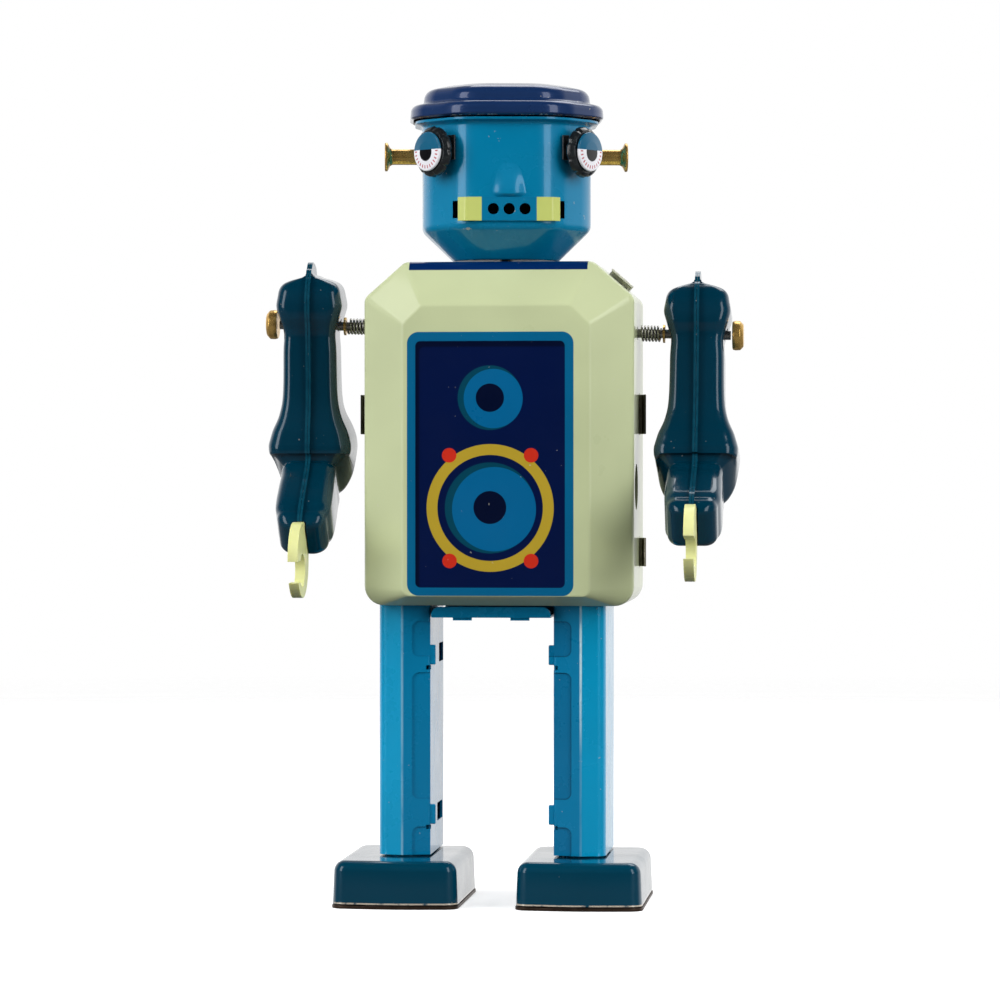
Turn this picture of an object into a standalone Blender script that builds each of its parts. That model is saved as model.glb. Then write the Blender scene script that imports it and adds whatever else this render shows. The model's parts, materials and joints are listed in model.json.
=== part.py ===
"""Wind-up tin robot, built as separate pressed shells, turned parts and a small clockwork.

The robot stands on z = 0 and looks along -Y. Its own left side is +X. Lengths below are in
millimetres and are scaled to metres when the meshes are made. The design frame has y = 0 in
the middle of the body; every piece is shifted by CENTRE_Y at the end, so that the origin is
under the middle of the whole robot.
"""

import math

import bmesh
import bpy
from mathutils import Matrix, Vector

MM = 0.001
GAP = 0.3
SHEET = 0.6
CENTRE_Y = 10.21

# Body: a pressed front cup and a back pan
BODY_HALF = 32.7
BODY_LOW = 72.3
BODY_TOP = 155.4
BODY_CHAMFER = (9.9, 8.7)
BODY_FRONT = -21.0
BODY_EDGE = -14.0
BODY_BACK = 20.0
FLAT_HALF = 22.5
FLAT_LOW = 74.8
FLAT_TOP = 144.6
FLAT_CHAMFER = 4.6
PAN_FRONT = 5.0
PAN_BACK = 22.0
BODY_RADII = [4.8, 4.8, 2.2, 2.2, 2.2, 2.2]
FLAT_RADII = [1.6, 1.6, 1.2, 1.2, 1.2, 1.2]
BODY_SOFT = 1.1
WINDING_HOLE_R = 5.6
TAB_Y = 6.4
TAB_SPANS = ((113.9, 123.6), (81.5, 88.5))
TAB_OUT = {("left", 0): 1.9, ("left", 1): 1.9, ("right", 0): 3.4, ("right", 1): 1.9}
SLOPE_TAB_OUT = 1.6
SLOPE_TAB_HALF = 3.4
TAB_SHEET = 0.5

# Head and hat: rounded octagons about a vertical neck pivot
HEAD_TURN = 7.5
HEAD_X = 0.5
HEAD_HALF = 20.4
HEAD_FLAT = 10.7
HEAD_FACET = 11.4
CHIN_LOW = 155.9
CHIN_TOP = 163.2
CHIN_HALF = 12.6
HEAD_TOP = 189.6
HAT_BRIM_LOW = 190.0
HAT_BRIM_TOP = 193.6
HAT_TOP = 198.6
BRIM_HALF = 23.5
CROWN_HALF = 19.9
FACE_Z = 181.5
MOUTH_Z = 167.6
MOUTH_SLOT_X = 12.4
MOUTH_HOLE_R = 1.36
MOUTH_PITCH = 3.8
EAR_END = 29.7
EYE_PAD = (4.7, 3.0)

# Arms
ARM_X = 47.4
ARM_SHEET = 0.6
SHAFT_REACH = 55.4
SHOULDER_Z = {"left": 137.8, "right": 140.8}
ARM_SWING = {"left": 10.5, "right": -3.0}
SHAFT_R = 1.1

# Legs, hips and feet
HIP_X = -2.0
LEG_X = 21.3
LEG_HALF = 6.3
LEG_FRONT = -12.0
LEG_BACK = 19.0
LEG_LOW = 11.8
LEG_TOP = 83.0
LEG_PIVOT_Z = 79.0
LEG_SLOTS = ((57.8, 62.4, 10.6, 1.5), (18.8, 23.2, 14.5, 3.4))
HIP_PIN_R = 1.2
FOOT_OUT = 0.8
FOOT_HALF = 15.1
FOOT_FRONT = -26.5
FOOT_BACK = 21.5
FOOT_TOP = 11.4
SOLE = 0.8
ROLLER_Y = -6.0
ROLLER_R = 3.5
ROLLER_Z = 3.6

# Clockwork: all arbors lie along X between two motor plates
PLATE_X = 11.1
PLATE_SHEET = 0.8
WINDING = (-5.0, 101.0)
CRANK = (0.0, 92.0)
CRANK_THROW = 1.3
DRIVE_MODULE = 0.5
GOVERNOR_MODULE = 0.4
GREAT_TEETH = 30
WHEEL_TEETH = 27
PINION_TEETH = 9
RATE_TEETH = 28
RATE_PINION = 8
PLATE_OUTLINE = ((-13.0, 74.3), (13.6, 74.3), (13.6, 108.0), (6.0, 112.0), (-13.0, 112.0))
PILLARS = (("front", -10.6, 79.5), ("back", 10.8, 79.5), ("top", 9.4, 107.0))
SPRING_INNER_R = 2.4
SPRING_OUTER_R = 7.4
SPRING_TURNS = 3.5
SIDES = (("left", 1), ("right", -1))

COLOURS = {
    "green_tin": ((0.52, 0.58, 0.36), 0.25, 0.0),
    "teal_tin": ((0.0, 0.22, 0.35), 0.22, 0.0),
    "navy_tin": ((0.02, 0.04, 0.14), 0.2, 0.0),
    "dark_teal_tin": ((0.0, 0.05, 0.09), 0.2, 0.0),
    "leg_tin": ((0.0, 0.26, 0.42), 0.22, 0.0),
    "claw_plastic": ((0.70, 0.75, 0.33), 0.4, 0.0),
    "mouth_tin": ((0.0, 0.18, 0.33), 0.25, 0.0),
    "black_plastic": ((0.01, 0.01, 0.012), 0.3, 0.0),
    "eye_print": ((0.8, 0.8, 0.82), 0.15, 0.0),
    "brass": ((0.62, 0.42, 0.13), 0.22, 1.0),
    "steel": ((0.5, 0.5, 0.5), 0.3, 1.0),
    "plated_steel": ((0.42, 0.42, 0.43), 0.35, 1.0),
    "rubber": ((0.02, 0.02, 0.02), 0.8, 0.0),
}


# ---------------------------------------------------------------- shapes in general


def material(name):
    """The Principled material of a finish, made once."""
    found = bpy.data.materials.get(name)
    if found:
        return found
    colour, roughness, metallic = COLOURS[name]
    made = bpy.data.materials.new(name)
    made.use_nodes = True
    shader = made.node_tree.nodes["Principled BSDF"]
    shader.inputs["Base Color"].default_value = (*colour, 1.0)
    shader.inputs["Roughness"].default_value = roughness
    shader.inputs["Metallic"].default_value = metallic
    return made


def new_object(name, bm, finish):
    """Closes a bmesh given in millimetres into an object in metres."""
    bmesh.ops.recalc_face_normals(bm, faces=bm.faces)
    bmesh.ops.scale(bm, vec=(MM, MM, MM), verts=bm.verts)
    mesh = bpy.data.meshes.new(name)
    bm.to_mesh(mesh)
    bm.free()
    mesh.materials.append(material(finish))
    mesh.shade_smooth()
    mesh.set_sharp_from_angle(angle=math.radians(35))
    made = bpy.data.objects.new(name, mesh)
    bpy.context.scene.collection.objects.link(made)
    return made


def bridge(bm, ring_a, ring_b):
    """Quads between two closed rings of the same length."""
    count = len(ring_a)
    for i in range(count):
        j = (i + 1) % count
        bm.faces.new((ring_a[i], ring_a[j], ring_b[j], ring_b[i]))


def add_rings(bm, rings):
    return [[bm.verts.new(point) for point in ring] for ring in rings]


def loft(name, rings, finish):
    """A solid through rings of points, with flat ends."""
    bm = bmesh.new()
    made = add_rings(bm, rings)
    for a, b in zip(made, made[1:]):
        bridge(bm, a, b)
    bm.faces.new(made[0])
    bm.faces.new(made[-1])
    return new_object(name, bm, finish)


def cup(name, outer, inner, finish):
    """A sheet cup. Both lists of rings run from the open rim to the closed end."""
    bm = bmesh.new()
    outside = add_rings(bm, outer)
    inside = add_rings(bm, inner)
    for rings in (outside, inside):
        for a, b in zip(rings, rings[1:]):
            bridge(bm, a, b)
        bm.faces.new(rings[-1])
    bridge(bm, outside[0], inside[0])
    return new_object(name, bm, finish)


def inset(corners, distance):
    """A counter-clockwise polygon moved inward by a distance."""
    made = []
    count = len(corners)
    for i in range(count):
        before = Vector(corners[i - 1])
        here = Vector(corners[i])
        after = Vector(corners[(i + 1) % count])
        a = (here - before).normalized()
        b = (after - here).normalized()
        normal_a = Vector((-a.y, a.x))
        normal_b = Vector((-b.y, b.x))
        half = (normal_a + normal_b) / (1 + normal_a.dot(normal_b))
        made.append(tuple(here + half * distance))
    return made


def rounded(corners, radius, steps=3):
    """The polygon with each corner turned into an arc of a few steps."""
    made = []
    count = len(corners)
    radii = radius if isinstance(radius, (list, tuple)) else [radius] * count
    for i in range(count):
        here = Vector(corners[i])
        back = (Vector(corners[i - 1]) - here).normalized()
        ahead = (Vector(corners[(i + 1) % count]) - here).normalized()
        angle = back.angle(ahead)
        r = max(radii[i], 0.05)
        reach = r / math.tan(angle / 2)
        centre = here + (back + ahead).normalized() * (r / math.sin(angle / 2))
        start = here + back * reach - centre
        turn = math.pi - angle
        for k in range(steps + 1):
            share = turn * k / steps
            spun = Matrix.Rotation(share, 2) @ start
            made.append(tuple(centre + spun))
    return made


def in_xz(points, y):
    return [(x, y, z) for x, z in points]


def in_xy(points, z):
    return [(x, y, z) for x, y in points]


def in_yz(points, x):
    return [(x, y, z) for y, z in points]


def box(name, low, high, finish="steel", bevel=0.0):
    """A block between two corners, with its upright edges rounded if a bevel is given."""
    corners = [(low[0], low[1]), (high[0], low[1]), (high[0], high[1]), (low[0], high[1])]
    outline = rounded(corners, bevel) if bevel else corners
    return loft(name, [in_xy(outline, low[2]), in_xy(outline, high[2])], finish)


def axis_point(axis, centre, along, across, up):
    """A point given along and around an axis through a centre."""
    cx, cy, cz = centre
    if axis == "X":
        return (cx + along, cy + across, cz + up)
    if axis == "Y":
        return (cx + across, cy + along, cz + up)
    return (cx + across, cy + up, cz + along)


def turned(name, profile, finish, axis="X", centre=(0, 0, 0), sides=20, ring=False):
    """Turns (along, radius) pairs about an axis. A ring's profile closes on itself."""
    bm = bmesh.new()
    rings = []
    for along, radius in profile:
        if radius <= 0:
            rings.append([bm.verts.new(axis_point(axis, centre, along, 0, 0))])
            continue
        points = []
        for k in range(sides):
            a = 2 * math.pi * k / sides
            across = radius * math.cos(a)
            up = radius * math.sin(a)
            points.append(bm.verts.new(axis_point(axis, centre, along, across, up)))
        rings.append(points)
    pairs = list(zip(rings, rings[1:]))
    if ring:
        pairs.append((rings[-1], rings[0]))
    for a, b in pairs:
        if len(a) == 1 or len(b) == 1:
            tip, rim = (a, b) if len(a) == 1 else (b, a)
            for k in range(sides):
                bm.faces.new((tip[0], rim[k], rim[(k + 1) % sides]))
        else:
            bridge(bm, a, b)
    return new_object(name, bm, finish)


def rod(name, axis, centre, start, end, radius, finish="steel", sides=12):
    profile = [(start, 0), (start, radius), (end, radius), (end, 0)]
    return turned(name, profile, finish, axis, centre, sides)


def combine(target, tool, operation):
    """Applies an exact Boolean of another object and removes that object."""
    modifier = target.modifiers.new("join", "BOOLEAN")
    modifier.operation = operation
    modifier.solver = "EXACT"
    modifier.object = tool
    bpy.context.view_layer.update()
    graph = bpy.context.evaluated_depsgraph_get()
    result = bpy.data.meshes.new_from_object(target.evaluated_get(graph))
    target.modifiers.clear()
    old = target.data
    result.name = old.name
    target.data = result
    bpy.data.meshes.remove(old)
    bpy.data.objects.remove(tool)
    result.set_sharp_from_angle(angle=math.radians(35))
    return target


def cut(target, tool):
    return combine(target, tool, "DIFFERENCE")


def unite(target, tool):
    return combine(target, tool, "UNION")


def move(made, matrix):
    made.data.transform(matrix)
    return made


def hold_at(made, pivot):
    """Puts the object's origin on its joint axis without moving its surface."""
    place = Vector(pivot) * MM
    made.data.transform(Matrix.Translation(-place))
    made.location = place
    return made


def turn_about(axis, degrees, pivot):
    """A rotation about an axis through a point given in millimetres."""
    place = Matrix.Translation(Vector(pivot) * MM)
    return place @ Matrix.Rotation(math.radians(degrees), 4, axis) @ place.inverted()


def helix(name, start, end, radius, wire, turns, finish, per_turn=10, sides=6):
    """A coil of round wire between two points in millimetres, its ends cut square."""
    a = Vector(start)
    b = Vector(end)
    along = (b - a).normalized()
    across = along.orthogonal().normalized()
    up = along.cross(across)
    count = int(turns * per_turn)
    rings = []
    for k in range(count + 1):
        angle = 2 * math.pi * k / per_turn
        outward = across * math.cos(angle) + up * math.sin(angle)
        middle = a + (b - a) * (k / count) + outward * radius
        ring = []
        for s in range(sides):
            t = 2 * math.pi * s / sides
            ring.append(middle + outward * (wire * math.cos(t)) + along * (wire * math.sin(t)))
        rings.append(ring)
    return loft(name, rings, finish)


# ---------------------------------------------------------------- body


def body_corners():
    dx, dz = BODY_CHAMFER
    return [
        (-BODY_HALF, BODY_LOW),
        (BODY_HALF, BODY_LOW),
        (BODY_HALF, BODY_TOP - dz),
        (BODY_HALF - dx, BODY_TOP),
        (-BODY_HALF + dx, BODY_TOP),
        (-BODY_HALF, BODY_TOP - dz),
    ]


def flat_corners():
    c = FLAT_CHAMFER
    return [
        (-FLAT_HALF, FLAT_LOW),
        (FLAT_HALF, FLAT_LOW),
        (FLAT_HALF, FLAT_TOP - c),
        (FLAT_HALF - c, FLAT_TOP),
        (-FLAT_HALF + c, FLAT_TOP),
        (-FLAT_HALF, FLAT_TOP - c),
    ]


def body_ring(distance, y):
    radii = [r - distance for r in BODY_RADII]
    return in_xz(rounded(inset(body_corners(), distance), radii), y)


def flat_ring(distance, y):
    radii = [r - distance for r in FLAT_RADII]
    return in_xz(rounded(inset(flat_corners(), distance), radii), y)


def leg_openings(name, low, high):
    """Two blocks the size of the holes that the legs swing in."""
    first = None
    for side, s in SIDES:
        x = HIP_X + s * LEG_X
        made = box(name + side, (x - 7.0, LEG_FRONT - 1.2, low), (x + 7.0, LEG_BACK + 1.2, high))
        first = made if first is None else unite(first, made)
    return first


def front_shell():
    """The front cup of the body, open at the back, with every hole that it needs."""
    soft = BODY_SOFT
    outer = [
        body_ring(0, BODY_BACK),
        body_ring(0, BODY_EDGE + soft),
        body_ring(0.3 * soft, BODY_EDGE + 0.3 * soft),
        body_ring(soft, BODY_EDGE - 0.35 * soft),
        flat_ring(-0.5, BODY_FRONT + 0.25),
        flat_ring(0.4, BODY_FRONT),
    ]
    inner = [
        body_ring(SHEET, BODY_BACK),
        body_ring(SHEET, BODY_EDGE + soft),
        body_ring(SHEET + soft, BODY_EDGE - 0.35 * soft + SHEET),
        flat_ring(0, BODY_FRONT + 0.25 + SHEET),
        flat_ring(0.6, BODY_FRONT + SHEET),
    ]
    shell = cup("front_shell", outer, inner, "green_tin")
    cut(shell, leg_openings("legs_front_", 60, 76))
    for s in (1, -1):
        z = shaft_z(BODY_HALF * s)
        start = 30 * s
        end = 36 * s
        cut(shell, rod("hole", "X", (0, 0, z), start, end, SHAFT_R + 0.6))
        for z_low, z_high in TAB_SPANS:
            low = (min(start, end), TAB_Y - 0.4, z_low - 0.3)
            high = (max(start, end), TAB_Y + 1.1, z_high + 0.3)
            cut(shell, box("slot", low, high))
        cut(shell, chamfer_tab(s, extra=GAP))
    y, z = WINDING
    cut(shell, rod("hole", "X", (0, y, z), 30, 36, WINDING_HOLE_R, sides=24))
    cut(shell, rod("hole", "Z", (HEAD_X, 0, 0), 150, 160, 1.9))
    return shell


def side_tab(s, z_low, z_high, out):
    """A tab of the back pan that comes out of the side wall and is bent forward."""
    x_in = (BODY_HALF - SHEET - GAP - 0.4) * s
    x_out = (BODY_HALF + out - 1.0) * s
    x_tip = (BODY_HALF + out) * s
    y = TAB_Y
    t = TAB_SHEET
    outline = [
        (x_in, y),
        (x_out, y),
        (x_tip - 0.6 * s, y - 2.6),
        (x_tip - 0.1 * s, y - 2.3),
        (x_out + t * s, y + t),
        (x_in, y + t),
    ]
    return loft("tab", [in_xy(outline, z_low), in_xy(outline, z_high)], "green_tin")


def chamfer_tab(s, extra=0.0):
    """The same kind of tab, square to the sloping top corner of the body."""
    dx, dz = BODY_CHAMFER
    middle = Vector((BODY_HALF - dx / 2, 0, BODY_TOP - dz / 2))
    slope = math.atan2(dz, dx)
    half = SLOPE_TAB_HALF + extra
    out = SLOPE_TAB_OUT
    y = TAB_Y - extra
    thick = TAB_SHEET + 2 * extra
    made = box("tab", (-half, y, -1.6 - 4 * extra), (half, y + thick, out), "green_tin")
    if not extra:
        lip = box("lip", (-half, y - 2.4, out - TAB_SHEET), (half, y + 0.2, out), "green_tin")
        unite(made, lip)
    place = Matrix.Translation(middle * MM) @ Matrix.Rotation(slope, 4, "Y")
    move(made, place)
    if s < 0:
        move(made, Matrix.Scale(-1, 4, (1, 0, 0)))
        made.data.flip_normals()
    return made


def back_shell():
    """The back pan, which fits inside the cup's rim and holds on by its bent tabs."""
    rim = SHEET + GAP
    outer = [
        body_ring(rim, PAN_FRONT),
        body_ring(rim, PAN_BACK - 1.6),
        body_ring(rim + 0.5, PAN_BACK - 0.5),
        body_ring(rim + 1.6, PAN_BACK),
    ]
    inner = [
        body_ring(rim + SHEET, PAN_FRONT),
        body_ring(rim + SHEET, PAN_BACK - 1.6),
        body_ring(rim + 1.7, PAN_BACK - SHEET),
    ]
    shell = cup("back_shell", outer, inner, "green_tin")
    for side, s in SIDES:
        for i, (z_low, z_high) in enumerate(TAB_SPANS):
            unite(shell, side_tab(s, z_low, z_high, TAB_OUT[side, i]))
        unite(shell, chamfer_tab(s))
    cut(shell, leg_openings("legs_back_", 60, 76))
    return shell


def neck_pivot():
    """The rivet that the head turns on, headed over inside the body and inside the head."""
    low = BODY_TOP - SHEET - GAP
    profile = [
        (low - 1.0, 0),
        (low - 1.0, 3.0),
        (low, 3.0),
        (low, 1.5),
        (CHIN_LOW + 0.9, 1.5),
        (CHIN_LOW + 0.9, 3.0),
        (CHIN_LOW + 1.9, 2.4),
        (CHIN_LOW + 1.9, 0),
    ]
    return turned("neck_pivot", profile, "steel", "Z", (HEAD_X, 0, 0), 16)


# ---------------------------------------------------------------- head


def octagon(half, flat, facet):
    """An octagon with front and back flats, sloping facets and side flats."""
    side = half - facet
    return [
        (-flat, -half),
        (flat, -half),
        (half, -side),
        (half, side),
        (flat, half),
        (-flat, half),
        (-half, side),
        (-half, -side),
    ]


def head_ring(half, z, radius=3.0):
    """The head's octagon at another size and height."""
    scale = half / HEAD_HALF
    shape = octagon(half, HEAD_FLAT * scale, HEAD_FACET * scale)
    return in_xy(rounded(shape, radius * scale, 2), z)


def nose():
    """A wedge pressed out of the face, deepest at its foot."""
    top = [(-1.4, -19.9), (1.4, -19.9), (1.4, -19.6), (-1.4, -19.6)]
    foot = [(-2.6, -22.3), (2.6, -22.3), (3.6, -19.6), (-3.6, -19.6)]
    base = [(-2.8, -20.6), (2.8, -20.6), (3.2, -19.6), (-3.2, -19.6)]
    rings = [in_xy(top, 177.6), in_xy(foot, 172.6), in_xy(base, 171.5)]
    return loft("nose", rings, "teal_tin")


def head_shell():
    """The head cup, open under the hat and drawn in at the chin."""
    outer = [
        head_ring(22.2, HEAD_TOP),
        head_ring(22.2, HEAD_TOP - SHEET),
        head_ring(HEAD_HALF, HEAD_TOP - SHEET - 0.5),
        head_ring(HEAD_HALF, CHIN_TOP + 0.8),
        head_ring(HEAD_HALF - 0.5, CHIN_TOP - 0.6),
        head_ring(CHIN_HALF, CHIN_LOW),
    ]
    inner = [
        head_ring(HEAD_HALF - SHEET, HEAD_TOP),
        head_ring(HEAD_HALF - SHEET, CHIN_TOP + 0.8),
        head_ring(CHIN_HALF - 0.2, CHIN_LOW + SHEET),
    ]
    shell = cup("head_shell", outer, inner, "teal_tin")
    unite(shell, nose())
    for s in (-1, 1):
        x = s * MOUTH_SLOT_X
        cut(shell, box("slot", (x - 0.7, -21, MOUTH_Z - 1.8), (x + 0.7, -17, MOUTH_Z + 1.8)))
        cut(shell, rod("hole", "X", (0, 0, FACE_Z), 16 * s, 24 * s, 1.5 + GAP))
        hole = rod("hole", "Y", (0, 0, 0), -1.5, 4, 2.2)
        cut(shell, place_on_facet(hole, s))
    cut(shell, rod("hole", "Z", (0, 0, 0), 150, 160, 1.8))
    return shell


def facet_frame(s):
    """A matrix whose -Y leaves the middle of a front facet at eye height."""
    middle = Vector((s * (HEAD_FLAT + HEAD_HALF) / 2, -(2 * HEAD_HALF - HEAD_FACET) / 2, FACE_Z))
    angle = s * math.atan2(HEAD_FACET, HEAD_HALF - HEAD_FLAT)
    return Matrix.Translation(middle * MM) @ Matrix.Rotation(angle, 4, "Z")


def place_on_facet(made, s):
    return move(made, facet_frame(s))


def hat():
    """Crown and brim in one pressing, hollow underneath."""
    outer = [
        head_ring(BRIM_HALF - 0.2, HAT_BRIM_LOW, 4.6),
        head_ring(BRIM_HALF, HAT_BRIM_LOW + 1.0, 4.6),
        head_ring(BRIM_HALF - 0.4, HAT_BRIM_TOP - 1.0, 4.6),
        head_ring(BRIM_HALF - 1.7, HAT_BRIM_TOP - 0.1, 4.6),
        head_ring(CROWN_HALF + 0.3, HAT_BRIM_TOP, 4.6),
        head_ring(CROWN_HALF, HAT_BRIM_TOP + 0.4, 4.6),
        head_ring(CROWN_HALF - 0.1, HAT_TOP - 3.0, 4.6),
        head_ring(CROWN_HALF - 1.0, HAT_TOP - 1.2, 4.6),
        head_ring(CROWN_HALF - 3.2, HAT_TOP - 0.2, 4.6),
        head_ring(CROWN_HALF - 6.5, HAT_TOP, 4.6),
    ]
    inner = [
        head_ring(BRIM_HALF - 0.8, HAT_BRIM_LOW, 4.6),
        head_ring(BRIM_HALF - 1.0, HAT_BRIM_TOP - 1.2, 4.6),
        head_ring(CROWN_HALF - 0.6, HAT_BRIM_TOP - 0.7, 4.6),
        head_ring(CROWN_HALF - 1.0, HAT_TOP - 3.2, 4.6),
        head_ring(CROWN_HALF - 4.0, HAT_TOP - 1.0, 4.6),
    ]
    return cup("hat", outer, inner, "navy_tin")


def mouth_plate():
    """A thin strip over the face, bent round both front corners."""
    half = 12.0
    bend = 10.2
    y = -HEAD_HALF - GAP
    back = y + 0.85
    t = 0.5
    path = [(-half, back), (-bend, y), (bend, y), (half, back)]
    outline = path + [(half + 0.2, back - t), (bend, y - t)]
    outline += [(-bend, y - t), (-half - 0.2, back - t)]
    low = MOUTH_Z - 2.9
    high = MOUTH_Z + 2.9
    plate = loft("mouth_plate", [in_xy(outline, low), in_xy(outline, high)], "mouth_tin")
    for k in (-1, 0, 1):
        x = k * MOUTH_PITCH
        cut(plate, rod("hole", "Y", (x, 0, MOUTH_Z), -23, -19, MOUTH_HOLE_R, sides=16))
    return plate


def eye_bezel(side, s):
    """A black collar that stands on a narrow neck and a flat pad."""
    profile = [
        (-GAP, 1.6),
        (-GAP, 2.6),
        (-2.5, 2.6),
        (-2.5, 5.7),
        (-3.0, 6.1),
        (-3.8, 6.0),
        (-4.6, 5.0),
        (-4.6, 1.6),
    ]
    made = turned("eye_bezel_" + side, profile, "black_plastic", "Y", (0, 0, 0), 24, ring=True)
    x, z = EYE_PAD
    pad = box("pad", (-x, -GAP - 0.5, -z), (x, -GAP, z), "black_plastic")
    unite(made, cut(pad, rod("bore", "Y", (0, 0, 0), -2, 1, 2.0)))
    return place_on_facet(made, s)


def eye_disc(side, s):
    """The printed tin disc of the eye, with a stem through the collar."""
    profile = [
        (3.0, 0),
        (3.0, 1.2),
        (-4.9, 1.2),
        (-4.9, 5.0),
        (-5.2, 5.2),
        (-5.7, 5.0),
        (-5.9, 4.0),
        (-5.9, 0),
    ]
    made = turned("eye_disc_" + side, profile, "eye_print", "Y", (0, 0, 0), 24)
    return place_on_facet(made, s)


def ear_tube(side, s):
    """A hollow brass rivet with a flared mouth, standing out of the side of the head."""
    start = HEAD_HALF + GAP
    end = EAR_END
    profile = [
        (16.5, 0),
        (16.5, 1.4),
        (start, 1.4),
        (start, 1.9),
        (end - 1.5, 1.9),
        (end - 0.8, 2.6),
        (end - 0.5, 3.5),
        (end, 3.5),
        (end - 0.2, 1.4),
        (end - 5.0, 1.0),
        (end - 5.0, 0),
    ]
    points = [(along * s, radius) for along, radius in profile]
    return turned("ear_tube_" + side, points, "brass", "X", (0, 0, FACE_Z), 16)


# ---------------------------------------------------------------- shoulders and arms


def shoulder_shaft():
    """One steel rod through the body; it lies a little askew in its loose holes."""
    reach = SHAFT_REACH
    left = Vector((reach, 0, SHOULDER_Z["left"]))
    right = Vector((-reach, 0, SHOULDER_Z["right"]))
    slope = math.atan2(right.z - left.z, 2 * reach)
    made = rod("shoulder_shaft", "X", (0, 0, 0), -reach, reach, SHAFT_R)
    middle = (left + right) / 2
    return move(made, Matrix.Translation(middle * MM) @ Matrix.Rotation(slope, 4, "Y"))


def shaft_z(x):
    """Height of the askew shoulder shaft above x."""
    left = SHOULDER_Z["left"]
    right = SHOULDER_Z["right"]
    return (left + right) / 2 + (left - right) / 2 * x / SHAFT_REACH


def rivet_head(side, s):
    profile = [(55.8, 0), (55.8, 3.2), (56.1, 3.6), (57.6, 3.6), (58.3, 3.0), (58.5, 0)]
    points = [(along * s, radius) for along, radius in profile]
    return turned("rivet_head_" + side, points, "brass", "X", (0, 0, shaft_z(57 * s)), 20)


def shoulder_spring(side, s):
    start = Vector((33.6 * s, 0, shaft_z(33.6 * s)))
    end = Vector((38.3 * s, 0, shaft_z(38.3 * s)))
    return helix("shoulder_spring_" + side, start, end, 1.75, 0.26, 5, "steel", 8, 5)


def spring_washer(side, s):
    inner = SHAFT_R + GAP
    profile = [(38.9, inner), (38.9, 2.2), (39.4, 2.2), (39.4, inner)]
    points = [(along * s, radius) for along, radius in profile]
    centre = (0, 0, shaft_z(39 * s))
    return turned("spring_washer_" + side, points, "brass", "X", centre, 16, ring=True)


# Stations along the arm from its top: centre (y, z) from the shoulder, half depth,
# half width, and how far the seam flange stands out in front and behind.
ARM_STATIONS = (
    (0.3, 15.2, 1.2, 0.0, 0.3, 0.3),
    (0.2, 14.6, 2.6, 0.0, 0.4, 0.4),
    (0.0, 12.2, 4.4, 0.6, 0.9, 0.9),
    (0.0, 11.0, 5.2, 3.2, 1.3, 1.3),
    (0.0, 10.2, 6.0, 5.6, 1.2, 1.2),
    (0.0, 8.6, 7.1, 7.3, 1.0, 1.0),
    (0.0, 5.6, 7.9, 8.1, 1.0, 1.0),
    (0.0, 2.4, 7.7, 7.7, 1.0, 1.0),
    (0.0, -0.4, 7.0, 6.8, 1.0, 1.0),
    (0.0, -8.0, 6.5, 6.6, 1.0, 1.0),
    (0.0, -17.0, 6.7, 6.8, 1.0, 1.0),
    (0.0, -21.5, 7.4, 7.6, 1.0, 1.0),
    (0.2, -25.5, 8.8, 9.3, 1.0, 1.0),
    (0.4, -29.5, 9.6, 10.2, 1.0, 1.0),
    (0.0, -33.6, 9.2, 9.4, 1.0, 1.0),
    (-2.4, -37.2, 7.9, 7.2, 0.8, 0.8),
    (-5.4, -39.9, 7.0, 6.7, 0.6, 0.8),
    (-9.8, -43.1, 6.8, 6.8, 0.6, 0.8),
    (-14.4, -46.5, 6.6, 6.8, 0.6, 0.8),
    (-18.0, -49.2, 6.2, 6.2, 0.6, 0.8),
    (-20.4, -51.0, 5.0, 4.2, 0.6, 0.6),
    (-21.4, -51.8, 3.6, 0.0, 0.5, 0.5),
)


def half_section(depth, width, front, back):
    """Outer and inner line of one half, from its front flange to its back flange."""
    t = ARM_SHEET
    plane = GAP / 2
    width = max(width, plane + t)
    corner = min(depth, width) * 0.34
    raised = width > plane + 2 * t
    wall = depth - (t if raised else 0.0)
    step = plane + t
    line = [(-depth - front, plane), (-depth - front, step), (-depth, step)]
    low = max(width - corner, step)
    high = max(width - 0.3 * corner, step)
    line += [(-depth, low), (-depth + 0.3 * corner, high), (-depth + corner, width)]
    line += [(depth - corner, width), (depth - 0.3 * corner, high), (depth, low)]
    line += [(depth, step), (depth + back, step), (depth + back, plane)]
    floor = max(width - t, plane) if raised else plane
    inside = [(wall, plane), (wall, max(floor - corner, plane))]
    inside += [(wall - corner, floor), (-wall + corner, floor)]
    inside += [(-wall, max(floor - corner, plane)), (-wall, plane)]
    return line + inside


def arm_half(name, x_sign, arm_x, pivot_z):
    """One pressed half of an arm; x_sign says which way it bulges."""
    rings = []
    count = len(ARM_STATIONS)
    for i, (y, z, depth, width, front, back) in enumerate(ARM_STATIONS):
        before = ARM_STATIONS[max(i - 1, 0)]
        after = ARM_STATIONS[min(i + 1, count - 1)]
        along = Vector((after[0] - before[0], after[1] - before[1])).normalized()
        across = Vector((-along.y, along.x))
        if across.x < 0:
            across = -across
        ring = []
        for offset, x in half_section(depth, width, front, back):
            place = Vector((y, z)) + across * offset
            ring.append((arm_x + x_sign * x, place.x, pivot_z + place.y))
        rings.append(ring)
    return loft(name, rings, "dark_teal_tin")


# The claw is a disc with a round mouth that opens to the front.
CLAW_CENTRE = (-26.4, -55.8)
CLAW_R = 9.1
CLAW_MOUTH = (-27.4, -58.2)
CLAW_MOUTH_R = 4.0
CLAW_GAP = 2.6
CLAW_HALF = 1.2
CLAW_TONGUE = ((-25.8, -54.4), (-16.6, -47.3))


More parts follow.
